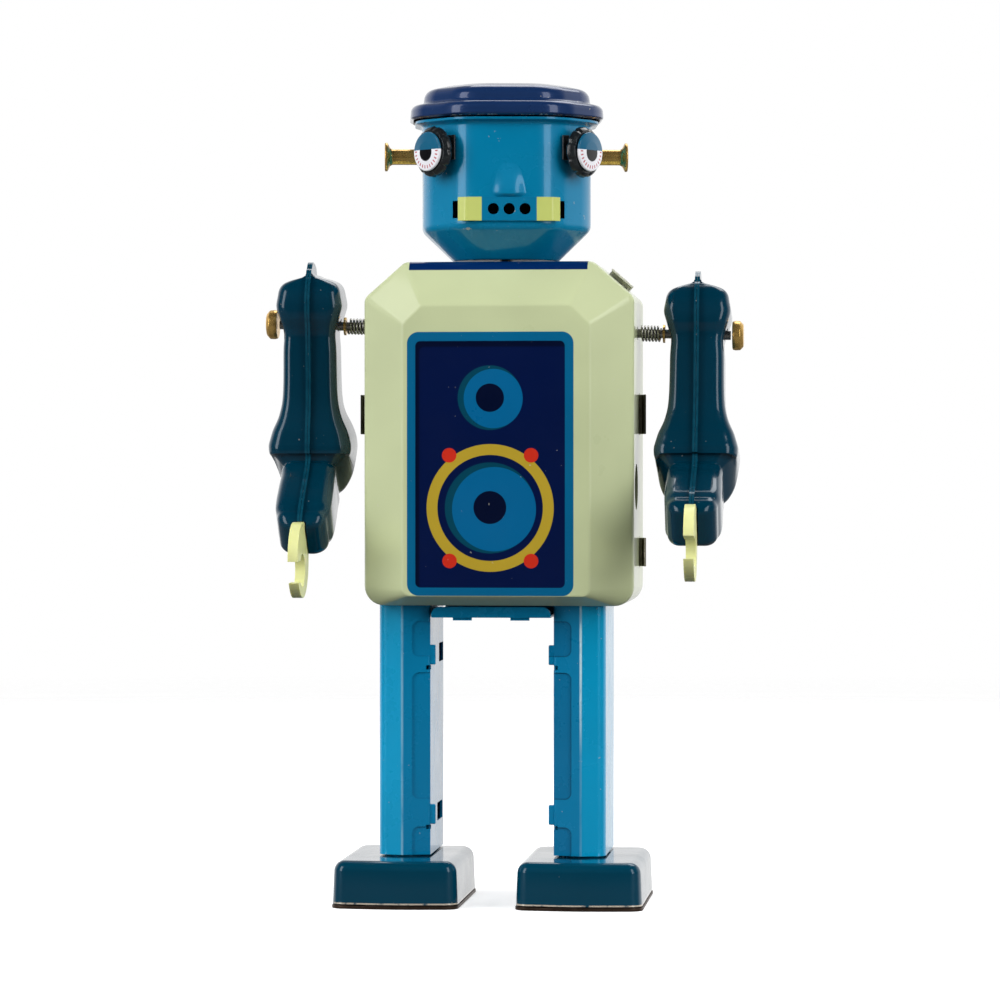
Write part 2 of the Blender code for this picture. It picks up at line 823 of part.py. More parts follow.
def tongue_outline(extra):
    """The strip that joins the claw to the inside of the forearm."""
    a = Vector(CLAW_TONGUE[0])
    b = Vector(CLAW_TONGUE[1])
    along = (b - a).normalized()
    across = Vector((-along.y, along.x)) * (2.4 + extra)
    b = b + along * extra
    return [tuple(a - across), tuple(b - across), tuple(b + across), tuple(a + across)]


def claw_blank(x, pivot_z, half, extra):
    """The disc and tongue of a claw, or with an allowance the slot that they need."""
    cy, cz = CLAW_CENTRE
    disc = rod("disc", "X", (x, cy, pivot_z + cz), -half, half, CLAW_R + extra, sides=28)
    outline = [(y, pivot_z + z) for y, z in tongue_outline(extra)]
    rings = [in_yz(outline, x - half + 0.01), in_yz(outline, x + half - 0.01)]
    return unite(disc, loft("tongue", rings, "claw_plastic"))


def claw(side, x, pivot_z):
    made = claw_blank(x, pivot_z, CLAW_HALF, 0)
    y, z = CLAW_MOUTH
    z += pivot_z
    cut(made, rod("mouth", "X", (x, y, z), -4, 4, CLAW_MOUTH_R, sides=24))
    cut(made, box("gap", (x - 4, y - 14, z - CLAW_GAP), (x + 4, y, z + CLAW_GAP)))
    made.name = "claw_" + side
    made.data.materials.clear()
    made.data.materials.append(material("claw_plastic"))
    return made


def arm(side, s):
    """Both halves and the claw of one arm, swung to its resting angle."""
    x = ARM_X * s
    pivot_z = shaft_z(x)
    pivot = (x, 0, pivot_z)
    outer = arm_half(f"arm_{side}_outer", s, x, pivot_z)
    inner = arm_half(f"arm_{side}_inner", -s, x, pivot_z)
    for half in (outer, inner):
        cut(half, claw_blank(x, pivot_z, CLAW_HALF + GAP, 0.4))
        cut(half, rod("bore", "X", pivot, -12, 12, SHAFT_R + 0.45, sides=16))
    swing = turn_about("X", -ARM_SWING[side], pivot)
    pieces = [outer, inner, claw(side, x, pivot_z)]
    for made in pieces:
        hold_at(move(made, swing), pivot)
    return pieces


# ---------------------------------------------------------------- hips, legs and feet


def hip_plate():
    """A tray under the body between the legs, with a front lip and two bent lugs."""
    half = LEG_X - LEG_HALF - 0.5
    low = 69.4
    top = BODY_LOW - GAP
    near = (HIP_X - half, -12.4, low)
    far = (HIP_X + half, 14.0, low + SHEET)
    floor = box("hip_plate", near, far, "leg_tin")
    corners = [(-half, low), (half, low), (half, top), (-half, top)]
    outline = [(HIP_X + x, z) for x, z in rounded(corners, [0.3, 0.3, 2.0, 2.0])]
    for y in (-13.0, 13.4):
        lip = loft("lip", [in_xz(outline, y), in_xz(outline, y + SHEET + 0.02)], "leg_tin")
        unite(floor, lip)
    for s in (-1, 1):
        x = HIP_X + s * 7
        unite(floor, box("lug", (x - 2.3, -12.2, low - 0.7), (x + 2.3, -11.4, low + 0.1), "leg_tin"))
    return floor


def leg_outline(s, distance):
    """Plan of a leg tube: a ridge down the front and a softer outer corner."""
    corners = [
        (-LEG_HALF, LEG_FRONT + 1.6),
        (0.4, LEG_FRONT),
        (LEG_HALF, LEG_FRONT + 1.6),
        (LEG_HALF, LEG_BACK),
        (-LEG_HALF, LEG_BACK),
    ]
    radii = [0.9, 0.8, 2.6, 1.4, 1.4]
    made = rounded(inset(corners, distance), [r - distance for r in radii])
    return [(HIP_X + s * (LEG_X + x), y) for x, y in made]


def leg_shell(side, s):
    """The folded leg tube with the lever that the crank pin swings."""
    skin = 0.03
    levels = (LEG_LOW, LEG_TOP)
    bm = bmesh.new()
    outside = add_rings(bm, [in_xy(leg_outline(s, 0), z) for z in levels])
    inside = add_rings(bm, [in_xy(leg_outline(s, SHEET), z) for z in levels])
    bridge(bm, outside[0], outside[1])
    bridge(bm, outside[1], inside[1])
    bridge(bm, inside[1], inside[0])
    bridge(bm, inside[0], outside[0])
    shell = new_object(f"leg_{side}_shell", bm, "leg_tin")
    inner_x = HIP_X + s * (LEG_X - LEG_HALF)
    near = min(inner_x, inner_x + s * SHEET)
    z = CRANK[1]
    window = CRANK_THROW * 2 + 0.8 + 0.4
    lever_low = (near + skin, -5.6, LEG_TOP - 4)
    lever = box("lever", lever_low, (near + SHEET - skin, 5.6, z + 5.6), "leg_tin")
    cut(lever, box("window", (near - 1, -window, z - window), (near + 2, window, z + window)))
    unite(shell, lever)
    pivot = (HIP_X + s * LEG_X, 0, LEG_PIVOT_Z)
    cut(shell, rod("bore", "X", pivot, -9, 9, HIP_PIN_R + GAP, sides=16))
    for z_low, z_high, y_low, y_high in LEG_SLOTS:
        low = (near - 1, LEG_BACK - y_low, z_low)
        high = (near + SHEET + 1, LEG_BACK - y_high, z_high)
        cut(shell, box("slot", low, high))
    return hold_at(shell, pivot)


def foot_outline(side_sign, distance):
    """Plan of a foot: a box with round corners and a bowed toe."""
    corners = [
        (-FOOT_HALF, FOOT_FRONT + 1.7),
        (0, FOOT_FRONT),
        (FOOT_HALF, FOOT_FRONT + 1.7),
        (FOOT_HALF, FOOT_BACK),
        (-FOOT_HALF, FOOT_BACK),
    ]
    radii = [3.0, 30.0, 3.0, 4.0, 4.0]
    centre = HIP_X + side_sign * (LEG_X + FOOT_OUT)
    made = rounded(inset(corners, distance), [r - distance for r in radii], 4)
    return [(centre + x, y) for x, y in made]


def foot_shell(side, s):
    soft = 2.3
    base = SOLE + GAP
    outer = [
        in_xy(foot_outline(s, 0), base),
        in_xy(foot_outline(s, 0.3), FOOT_TOP - soft),
        in_xy(foot_outline(s, 0.3 + 0.3 * soft), FOOT_TOP - 0.3 * soft),
        in_xy(foot_outline(s, 0.3 + soft), FOOT_TOP),
    ]
    inner = [
        in_xy(foot_outline(s, SHEET), base),
        in_xy(foot_outline(s, SHEET + 0.3), FOOT_TOP - soft),
        in_xy(foot_outline(s, 0.3 + soft), FOOT_TOP - SHEET),
    ]
    return cup(f"foot_{side}_shell", outer, inner, "dark_teal_tin")


def sole_plate(side, s):
    """The flat sole, with a slot for the roller."""
    rings = [in_xy(foot_outline(s, -0.25), 0), in_xy(foot_outline(s, -0.25), SOLE)]
    made = loft("sole_" + side, rings, "plated_steel")
    x = HIP_X + s * (LEG_X + FOOT_OUT)
    return cut(made, box("slot", (x - 2.0, ROLLER_Y - 4.4, -1), (x + 2.0, ROLLER_Y + 4.4, 2)))


def foot_roller(side, s):
    x = HIP_X + s * (LEG_X + FOOT_OUT)
    profile = [(-1.3, 1.0), (-1.3, ROLLER_R - 0.3), (-1.0, ROLLER_R)]
    profile += [(1.0, ROLLER_R), (1.3, ROLLER_R - 0.3), (1.3, 1.0)]
    centre = (x, ROLLER_Y, ROLLER_Z)
    made = turned("roller_" + side, profile, "rubber", "X", centre, 20, ring=True)
    return hold_at(made, centre)


def roller_axle(side, s):
    x = HIP_X + s * (LEG_X + FOOT_OUT)
    reach = FOOT_HALF - SHEET - GAP - 0.3
    return rod("roller_axle_" + side, "X", (x, ROLLER_Y, ROLLER_Z), -reach, reach, 0.7)


def hip_pin(side, s):
    """The pin that a leg hangs and swings on, headed outside the leg."""
    start = PLATE_X + PLATE_SHEET + GAP
    end = LEG_X + LEG_HALF + GAP
    r = HIP_PIN_R
    profile = [(start, 0), (start, r), (end, r), (end, r + 1), (end + 0.8, r + 1), (end + 0.8, 0)]
    points = [(along * s, radius) for along, radius in profile]
    return turned("hip_pin_" + side, points, "steel", "X", (HIP_X, 0, LEG_PIVOT_Z), 14)


# ---------------------------------------------------------------- clockwork


def meet(a, reach_a, b, reach_b):
    """The rear point at given distances from two points in the YZ plane."""
    start = Vector(a)
    line = Vector(b) - start
    span = line.length
    along = (reach_a**2 - reach_b**2 + span**2) / (2 * span)
    aside = math.sqrt(reach_a**2 - along**2)
    line.normalize()
    normal = Vector((-line.y, line.x))
    if normal.x < 0:
        normal = -normal
    return tuple(start + line * along + normal * aside)


def pitch(teeth, module):
    return teeth * module / 2


def gear(name, centre, teeth, module, x_low, x_high, phase=0.0, finish="brass"):
    """A spur wheel with straight-sided teeth, thinner than half the pitch."""
    radius = pitch(teeth, module)
    tip = radius + 0.75 * module
    root = radius - 1.1 * module
    step = 2 * math.pi / teeth
    outline = []
    for k in range(teeth):
        middle = phase + k * step
        for offset, r in ((-0.27, root), (-0.1, tip), (0.1, tip), (0.27, root)):
            a = middle + offset * step
            outline.append((centre[0] + r * math.cos(a), centre[1] + r * math.sin(a)))
    return loft(name, [in_yz(outline, HIP_X + x_low), in_yz(outline, HIP_X + x_high)], finish)


def arbor(name, centre, radius, low, high):
    return rod(name, "X", (HIP_X, *centre), low, high, radius, "steel", 14)


def angle_to(a, b):
    return math.atan2(b[1] - a[1], b[0] - a[0])


def meshing_phase(driver, driver_teeth, driver_phase, centre, teeth):
    """Phase of a wheel whose tooth space faces the driver's tooth on the line of centres."""
    ahead = angle_to(driver, centre)
    offset = ((ahead - driver_phase) * driver_teeth / (2 * math.pi)) % 1.0
    back = ahead + math.pi
    return back + (offset + 0.5) * 2 * math.pi / teeth


SECOND = meet(
    WINDING,
    pitch(GREAT_TEETH + PINION_TEETH, DRIVE_MODULE),
    CRANK,
    pitch(WHEEL_TEETH + PINION_TEETH, DRIVE_MODULE),
)
RATE_REACH = pitch(RATE_TEETH + RATE_PINION, GOVERNOR_MODULE)
RATE_ANGLE = math.radians(212)
RATE = (
    CRANK[0] + RATE_REACH * math.cos(RATE_ANGLE),
    CRANK[1] + RATE_REACH * math.sin(RATE_ANGLE),
)


def winding_parts():
    """The wound arbor with the great wheel, and a square end for a key."""
    shaft = arbor("winding_arbor", WINDING, 1.5, -PLATE_X - 1.6, 25.5)
    y, z = WINDING
    square = 1.1
    end = (HIP_X + 25.0, HIP_X + 32.0)
    unite(shaft, box("square", (end[0], y - square, z - square), (end[1], y + square, z + square)))
    wheel = gear("great_wheel", WINDING, GREAT_TEETH, DRIVE_MODULE, 6.4, 7.8)
    cut(wheel, rod("bore", "X", (HIP_X, y, z), 5, 9, 1.5 + GAP, sides=16))
    return [shaft, wheel]


def second_parts():
    phase = meshing_phase(WINDING, GREAT_TEETH, 0.0, SECOND, PINION_TEETH)
    shaft = arbor("second_arbor", SECOND, 0.9, -PLATE_X - 1.3, PLATE_X + 1.2)
    unite(shaft, gear("pinion", SECOND, PINION_TEETH, DRIVE_MODULE, 5.8, 8.4, phase, "steel"))
    wheel = gear("second_wheel", SECOND, WHEEL_TEETH, DRIVE_MODULE, 0.8, 2.2)
    cut(wheel, rod("bore", "X", (HIP_X, *SECOND), 0, 4, 0.9 + GAP, sides=16))
    return [shaft, wheel]


def crank_parts():
    """The crankshaft, its speed wheel and a crank disc with a pin at each end."""
    phase = meshing_phase(SECOND, WHEEL_TEETH, 0.0, CRANK, PINION_TEETH)
    reach = PLATE_X + PLATE_SHEET + 1.0
    shaft = arbor("crank_shaft", CRANK, 1.0, -reach, reach)
    unite(shaft, gear("pinion", CRANK, PINION_TEETH, DRIVE_MODULE, 0.2, 2.8, phase, "steel"))
    made = [shaft]
    wheel = gear("rate_wheel", CRANK, RATE_TEETH, GOVERNOR_MODULE, -4.0, -3.0)
    cut(wheel, rod("bore", "X", (HIP_X, *CRANK), -5, -2, 1.0 + GAP, sides=16))
    made.append(wheel)
    for side, s in SIDES:
        start = (reach + GAP) * s
        face = start + 1.0 * s
        profile = [(start, 0), (start, 3.2), (face, 3.2), (face, 0)]
        disc = turned("crank_disc_" + side, profile, "steel", "X", (HIP_X, *CRANK), 20)
        y, z = CRANK
        pin = rod("pin", "X", (HIP_X, y, z + s * CRANK_THROW), face - 0.5 * s, face + 3.0 * s, 0.8)
        made.append(unite(disc, pin))
    return made


def governor_parts():
    """The fast pinion with its two-bladed air brake, which sets the walking pace."""
    phase = meshing_phase(CRANK, RATE_TEETH, 0.0, RATE, RATE_PINION)
    shaft = arbor("governor_arbor", RATE, 0.5, -PLATE_X - 1.1, -1.0)
    unite(shaft, gear("pinion", RATE, RATE_PINION, GOVERNOR_MODULE, -4.6, -2.4, phase, "steel"))
    blade = turned(
        "governor_fan",
        [(-9.6, 0.8), (-9.6, 3.4), (-6.0, 3.4), (-6.0, 0.8)],
        "plated_steel",
        "X",
        (HIP_X, *RATE),
        16,
        ring=True,
    )
    return [shaft, blade]


def mainspring():
    """A flat spiral strip round the winding arbor."""
    cy, cz = WINDING
    count = 72
    half = 0.2
    near = []
    far = []
    for k in range(count + 1):
        share = k / count
        a = 2 * math.pi * SPRING_TURNS * share
        r = SPRING_INNER_R + (SPRING_OUTER_R - SPRING_INNER_R) * share
        near.append((cy + (r - half) * math.cos(a), cz + (r - half) * math.sin(a)))
        far.append((cy + (r + half) * math.cos(a), cz + (r + half) * math.sin(a)))
    bm = bmesh.new()
    corners = []
    for line in (near, far):
        for x in (-10.4, -5.2):
            corners.append([bm.verts.new((HIP_X + x, y, z)) for y, z in line])
    near_low, near_high, far_low, far_high = corners
    loop = [near_low, near_high, far_high, far_low]
    for i in range(4):
        a = loop[i]
        b = loop[(i + 1) % 4]
        for k in range(count):
            bm.faces.new((a[k], a[k + 1], b[k + 1], b[k]))
    for k in (0, -1):
        bm.faces.new([line[k] for line in loop])
    return new_object("mainspring", bm, "steel")


def motor_plate(side, s):
    """One of the two plates that carry the arbors."""
    low = min(s * PLATE_X, s * (PLATE_X + PLATE_SHEET))
    outline = rounded(PLATE_OUTLINE, 1.5)
    rings = [in_yz(outline, HIP_X + low), in_yz(outline, HIP_X + low + PLATE_SHEET)]
    plate = loft("motor_plate_" + side, rings, "plated_steel")
    holes = [(WINDING, 1.5), (SECOND, 0.9), (CRANK, 1.0)]
    if s < 0:
        holes.append((RATE, 0.5))
    for centre, radius in holes:
        cut(plate, rod("hole", "X", (HIP_X, *centre), low - 2, low + 3, radius + GAP, sides=14))
    return plate


def pillar(name, y, z):
    reach = PLATE_X - GAP
    return rod("motor_pillar_" + name, "X", (HIP_X, y, z), -reach, reach, 1.4, "steel")


# ---------------------------------------------------------------- the whole robot


def build_head():
    pieces = [head_shell(), hat(), mouth_plate()]
    for side, s in SIDES:
        pieces += [eye_bezel(side, s), eye_disc(side, s), ear_tube(side, s)]
    pivot = (HEAD_X, 0, CHIN_LOW)
    place = Matrix.Translation(Vector((HEAD_X, 0, 0)) * MM)
    spin = place @ Matrix.Rotation(math.radians(HEAD_TURN), 4, "Z")
    for made in pieces:
        hold_at(move(made, spin), pivot)


def build_clockwork():
    groups = (
        (winding_parts(), WINDING),
        (second_parts(), SECOND),
        (crank_parts(), CRANK),
        (governor_parts(), RATE),
    )
    for pieces, centre in groups:
        for made in pieces:
            hold_at(made, (HIP_X, *centre))
    mainspring()
    for name, y, z in PILLARS:
        pillar(name, y, z)


def build():
    for old in list(bpy.data.objects):
        bpy.data.objects.remove(old)
    front_shell()
    back_shell()
    neck_pivot()
    build_head()
    shoulder_shaft()
    hip_plate()
    build_clockwork()
    for side, s in SIDES:
        rivet_head(side, s)
        shoulder_spring(side, s)
        spring_washer(side, s)
        arm(side, s)
        motor_plate(side, s)
        hip_pin(side, s)
        leg = [leg_shell(side, s)]
        leg += [foot_shell(side, s), sole_plate(side, s), roller_axle(side, s)]
        for made in leg[1:]:
            hold_at(made, (HIP_X + s * LEG_X, 0, LEG_PIVOT_Z))
        foot_roller(side, s)
    for made in bpy.data.objects:
        made.location.y += CENTRE_Y * MM


build()
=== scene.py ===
"""Looks of the wind-up tin robot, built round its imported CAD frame.

Pieces are modelled in millimetres in the CAD's design frame, where y = 0 is the middle of the
body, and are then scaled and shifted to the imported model. The robot looks along -Y and its own
left side is +X.
"""

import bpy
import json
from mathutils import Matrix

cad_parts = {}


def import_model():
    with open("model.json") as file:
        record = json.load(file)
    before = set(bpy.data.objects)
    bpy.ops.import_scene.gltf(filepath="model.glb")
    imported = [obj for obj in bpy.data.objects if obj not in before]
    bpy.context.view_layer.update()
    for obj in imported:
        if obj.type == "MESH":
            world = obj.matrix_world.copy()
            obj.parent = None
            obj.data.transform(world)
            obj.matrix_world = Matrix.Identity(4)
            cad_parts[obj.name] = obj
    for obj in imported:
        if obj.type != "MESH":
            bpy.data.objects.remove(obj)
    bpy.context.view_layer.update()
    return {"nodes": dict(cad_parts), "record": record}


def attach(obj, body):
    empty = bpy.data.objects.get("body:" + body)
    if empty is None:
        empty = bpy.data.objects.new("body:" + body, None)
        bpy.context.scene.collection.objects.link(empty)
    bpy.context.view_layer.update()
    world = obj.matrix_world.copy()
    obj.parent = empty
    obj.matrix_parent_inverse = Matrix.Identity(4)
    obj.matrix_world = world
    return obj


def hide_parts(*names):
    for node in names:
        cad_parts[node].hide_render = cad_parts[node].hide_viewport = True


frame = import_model()

import json
import math

import bmesh
import bpy
from mathutils import Matrix, Vector

MM = 0.001
CENTRE_Y = 10.21
TO_WORLD = Matrix.Scale(MM, 4) @ Matrix.Translation((0, CENTRE_Y, 0))
SIDES = (("left", 1), ("right", -1))
SHEET = 0.6
BEVEL_ANGLE = math.radians(40)
SHARP_ANGLE = math.radians(34)
MERGE = 0.0005
WAVE_ABOVE = 3.2

# Body
BODY_HALF = 32.7
BODY_LOW = 72.3
BODY_TOP = 155.4
BODY_CHAMFER = (9.9, 8.7)
BODY_RADII = [4.8, 4.8, 2.6, 2.6, 2.6, 2.6]
BODY_EDGE = -14.0
BODY_FRONT = -21.0
BODY_BACK = 20.0
PAN_FRONT = 5.0
PAN_BACK = 22.0
FLAT_HALF = 22.5
FLAT_LOW = 74.8
FLAT_TOP = 144.6
FLAT_CHAMFER = 4.6
FLAT_RADII = [1.8, 1.8, 1.4, 1.4, 1.4, 1.4]
FACET = BODY_HALF - FLAT_HALF
TAB_Y = 6.4
TAB_SPANS = ((113.9, 123.6), (81.5, 88.5))
TAB_OUT = {("left", 0): 1.9, ("left", 1): 1.9, ("right", 0): 3.4, ("right", 1): 1.9}
WINDING = (-5.0, 101.0)

# Head and hat
HEAD_TURN = math.radians(7.5)
HEAD_X = 0.5
HEAD_HALF = 20.4
HEAD_FLAT = 10.7
HEAD_FACET = 11.4
HEAD_RADIUS = 11.5
CHIN_LOW = 155.9
HAT_TOP = 198.6
HAT_RADIUS = 11.0
FACE_Z = 181.5
MOUTH_Z = 167.6
MOUTH_HOLE_GAP = 3.8
MOUTH_HOLE_R = 1.36
MOUTH_SLOT_X = 12.7
NECK_HOLE_R = 1.8
EAR_HOLE_R = 1.8
EAR_END = 29.7
EYE_PAD = (4.7, 3.0)
EYE_PAD_RISE = 1.0
NOTCHES = 9
NOTCH_DEPTH = 0.3
NOSE_LOW = 170.9
NOSE_TALL = 9.3
NOSE_HALF = (4.5, 1.8)
NOSE_REACH = 1.35
HEAD_PLACE = Matrix.Translation((HEAD_X, 0, 0)) @ Matrix.Rotation(HEAD_TURN, 4, "Z")

# Arms
ARM_X = 47.4
SHOULDER_Z = {"left": 137.8, "right": 140.8}
ARM_SWING = {"left": 10.5, "right": -3.0}
SHAFT_REACH = 55.4
SEAM = 0.04
SPRING_SPAN = (33.6, 38.3)
SPRING_TURNS = 6
SPRING_R = 1.75

# Legs, hips and feet
HIP_X = -2.0
LEG_X = 21.3
LEG_HALF = 6.3
LEG_FRONT = -12.0
LEG_BACK = 19.0
LEG_RIDGE = 0.4
LEG_SLOPE = 1.6
LEG_LOW = 11.8
PANEL_WIDTH = 4.3
LEG_PANELS = ((60.0, 68.4), (25.5, 56.0), (11.0, 18.6))
LEG_TOP = 83.0
LEG_PIVOT_Z = 79.0
FOOT_OUT = 0.8
FOOT_HALF = 15.1
FOOT_FRONT = -26.5
FOOT_BACK = 21.5
FOOT_SLOPE = 1.7
FOOT_TOP = 11.4
FOOT_LOW = 1.1
ROLLER_Y = -6.0


# ---- outlines


def inset(corners, distance):
    """A counter-clockwise polygon moved inward by a distance."""
    made = []
    count = len(corners)
    for i in range(count):
        here = Vector(corners[i])
        a = (here - Vector(corners[i - 1])).normalized()
        b = (Vector(corners[(i + 1) % count]) - here).normalized()
        normal_a = Vector((-a.y, a.x))
        normal_b = Vector((-b.y, b.x))
        half = (normal_a + normal_b) / (1 + normal_a.dot(normal_b))
        made.append(tuple(here + half * distance))
    return made


def corner_arc(before, here, after, radius, steps):
    """Points of the arc that rounds one corner."""
    here = Vector(here)
    back = (Vector(before) - here).normalized()
    ahead = (Vector(after) - here).normalized()
    angle = back.angle(ahead)
    if radius < 0.02 or angle > math.pi - 0.01:
        return [tuple(here)] * (steps + 1)
    reach = radius / math.tan(angle / 2)
    centre = here + (back + ahead).normalized() * (radius / math.sin(angle / 2))
    start = here + back * reach - centre
    end = here + ahead * reach - centre
    turn = start.angle_signed(end)
    return [tuple(centre + Matrix.Rotation(-turn * k / steps, 2) @ start) for k in range(steps + 1)]


def rounded(corners, radius, steps=8):
    """A closed polygon with rounded corners."""
    made = []
    count = len(corners)
    radii = radius if isinstance(radius, (list, tuple)) else [radius] * count
    for i in range(count):
        after = corners[(i + 1) % count]
        made += corner_arc(corners[i - 1], corners[i], after, max(radii[i], 0.03), steps)
    return made


def fillet(path, radii, steps=6):
    """An open path with rounded inner corners."""
    made = [tuple(path[0])]
    for i in range(1, len(path) - 1):
        if radii[i] < 0.02:
            made.append(tuple(path[i]))
        else:
            made += corner_arc(path[i - 1], path[i], path[i + 1], radii[i], steps)
    made.append(tuple(path[-1]))
    return made


def smooth_rows(rows, steps):
    """Catmull-Rom interpolation of rows of numbers."""
    made = []
    last = len(rows) - 1
    for i in range(last):
        p0 = rows[max(i - 1, 0)]
        p1 = rows[i]
        p2 = rows[i + 1]
        p3 = rows[min(i + 2, last)]
        for k in range(steps):
            t = k / steps
            row = []
            for a, b, c, d in zip(p0, p1, p2, p3):
                bend = (2 * a - 5 * b + 4 * c - d) * t * t + (3 * b - a - 3 * c + d) * t**3
                row.append(b + 0.5 * ((c - a) * t + bend))
            made.append(row)
    made.append(list(rows[-1]))
    return made


def in_xz(points, y):
    return [(x, y, z) for x, z in points]


def in_xy(points, z):
    return [(x, y, z) for x, y in points]


def in_yz(points, x):
    return [(x, y, z) for y, z in points]


# ---- meshes


def loft_mesh(rings, first=True, last=True):
    """A mesh through closed rings, with a face over the first and last ring if wanted."""
    bm = bmesh.new()
    made = [[bm.verts.new(point) for point in ring] for ring in rings]
    for a, b in zip(made, made[1:]):
        count = len(a)
        for i in range(count):
            j = (i + 1) % count
            bm.faces.new((a[i], a[j], b[j], b[i]))
    if first:
        bm.faces.new(made[0])
    if last:
        bm.faces.new(made[-1])
    bmesh.ops.remove_doubles(bm, verts=bm.verts, dist=MERGE)
    bmesh.ops.recalc_face_normals(bm, faces=bm.faces)
    return face_outward(bm)


def face_outward(bm):
    """Flips an open or closed mesh whose faces look at its middle."""
    middle = sum((v.co for v in bm.verts), Vector()) / len(bm.verts)
    outward = sum(f.calc_area() * f.normal.dot(f.calc_center_median() - middle) for f in bm.faces)
    if outward < 0:
        bmesh.ops.reverse_faces(bm, faces=bm.faces)
    return bm


def turned_mesh(profile, axis="X", centre=(0, 0, 0), sides=48, ring=False, wave=None):
    """Turns (along, radius) pairs about an axis; wave(angle) swells radii over WAVE_ABOVE."""
    rings = []
    for k in range(sides):
        a = 2 * math.pi * k / sides
        swell = wave(a) if wave else 0.0
        row = []
        for along, radius in profile:
            r = radius + swell if radius > WAVE_ABOVE else radius
            across = r * math.cos(a)
            up = r * math.sin(a)
            ways = {"X": (along, across, up), "Y": (across, along, up), "Z": (across, up, along)}
            row.append(tuple(c + d for c, d in zip(centre, ways[axis])))
        rings.append(row)
    bm = bmesh.new()
    made = [[bm.verts.new(point) for point in row] for row in rings]
    spans = len(profile) if ring else len(profile) - 1
    for k in range(sides):
        a = made[k]
        b = made[(k + 1) % sides]
        for i in range(spans):
            j = (i + 1) % len(profile)
            bm.faces.new((a[i], a[j], b[j], b[i]))
    bmesh.ops.remove_doubles(bm, verts=bm.verts, dist=MERGE)
    bmesh.ops.recalc_face_normals(bm, faces=bm.faces)
    return bm


def box_mesh(low, high):
    corners = [(low[0], low[1]), (high[0], low[1]), (high[0], high[1]), (low[0], high[1])]
    return loft_mesh([in_xy(corners, low[2]), in_xy(corners, high[2])])


def rod_mesh(axis, centre, start, end, radius, sides=32):
    return turned_mesh([(start, 0), (start, radius), (end, radius), (end, 0)], axis, centre, sides)


def moved(bm, matrix):
    bmesh.ops.transform(bm, matrix=matrix, verts=bm.verts)
    if matrix.determinant() < 0:
        bmesh.ops.reverse_faces(bm, faces=bm.faces)
    return bm


def raw_object(name, bm):
    mesh = bpy.data.meshes.new(name)
    bm.to_mesh(mesh)
    bm.free()
    made = bpy.data.objects.new(name, mesh)
    bpy.context.scene.collection.objects.link(made)
    return made


def bake(made):
    """Applies an object's modifiers to its mesh."""
    bpy.context.view_layer.update()
    graph = bpy.context.evaluated_depsgraph_get()
    result = bpy.data.meshes.new_from_object(made.evaluated_get(graph))
    made.modifiers.clear()
    old = made.data
    made.data = result
    bpy.data.meshes.remove(old)
    return made


def boolean(made, bm, operation="DIFFERENCE"):
    tool = raw_object("tool", bm)
    modifier = made.modifiers.new("join", "BOOLEAN")
    modifier.operation = operation
    modifier.solver = "EXACT"
    modifier.object = tool
    bake(made)
    bpy.data.objects.remove(tool)
    return made


def piece(name, bm, body, finish, nodes=(), thick=0.0, cuts=(), adds=(), bevel=0.0, place=None):
    """One visible piece: thickened, cut, joined, bevelled, put in place and given its finish."""
    made = raw_object(name, bm)
    if thick:
        solid = made.modifiers.new("sheet", "SOLIDIFY")
        solid.thickness = thick
        solid.offset = -1
        solid.use_even_offset = True
        bake(made)
    for tool in cuts:
        boolean(made, tool)
    for tool in adds:
        boolean(made, tool, "UNION")
    if bevel:
        edge = made.modifiers.new("edge", "BEVEL")
        edge.width = bevel
        edge.segments = 3
        edge.limit_method = "ANGLE"
        edge.angle_limit = BEVEL_ANGLE
        bake(made)
    made.data.transform(TO_WORLD @ place if place else TO_WORLD)
    made.data.materials.clear()
    made.data.materials.append(finish)
    made.data.shade_smooth()
    made.data.set_sharp_from_angle(angle=SHARP_ANGLE)
    even = made.modifiers.new("even", "WEIGHTED_NORMAL")
    even.keep_sharp = True
    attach(made, body)
    if nodes:
        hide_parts(*nodes)
    return made


# ---- materials


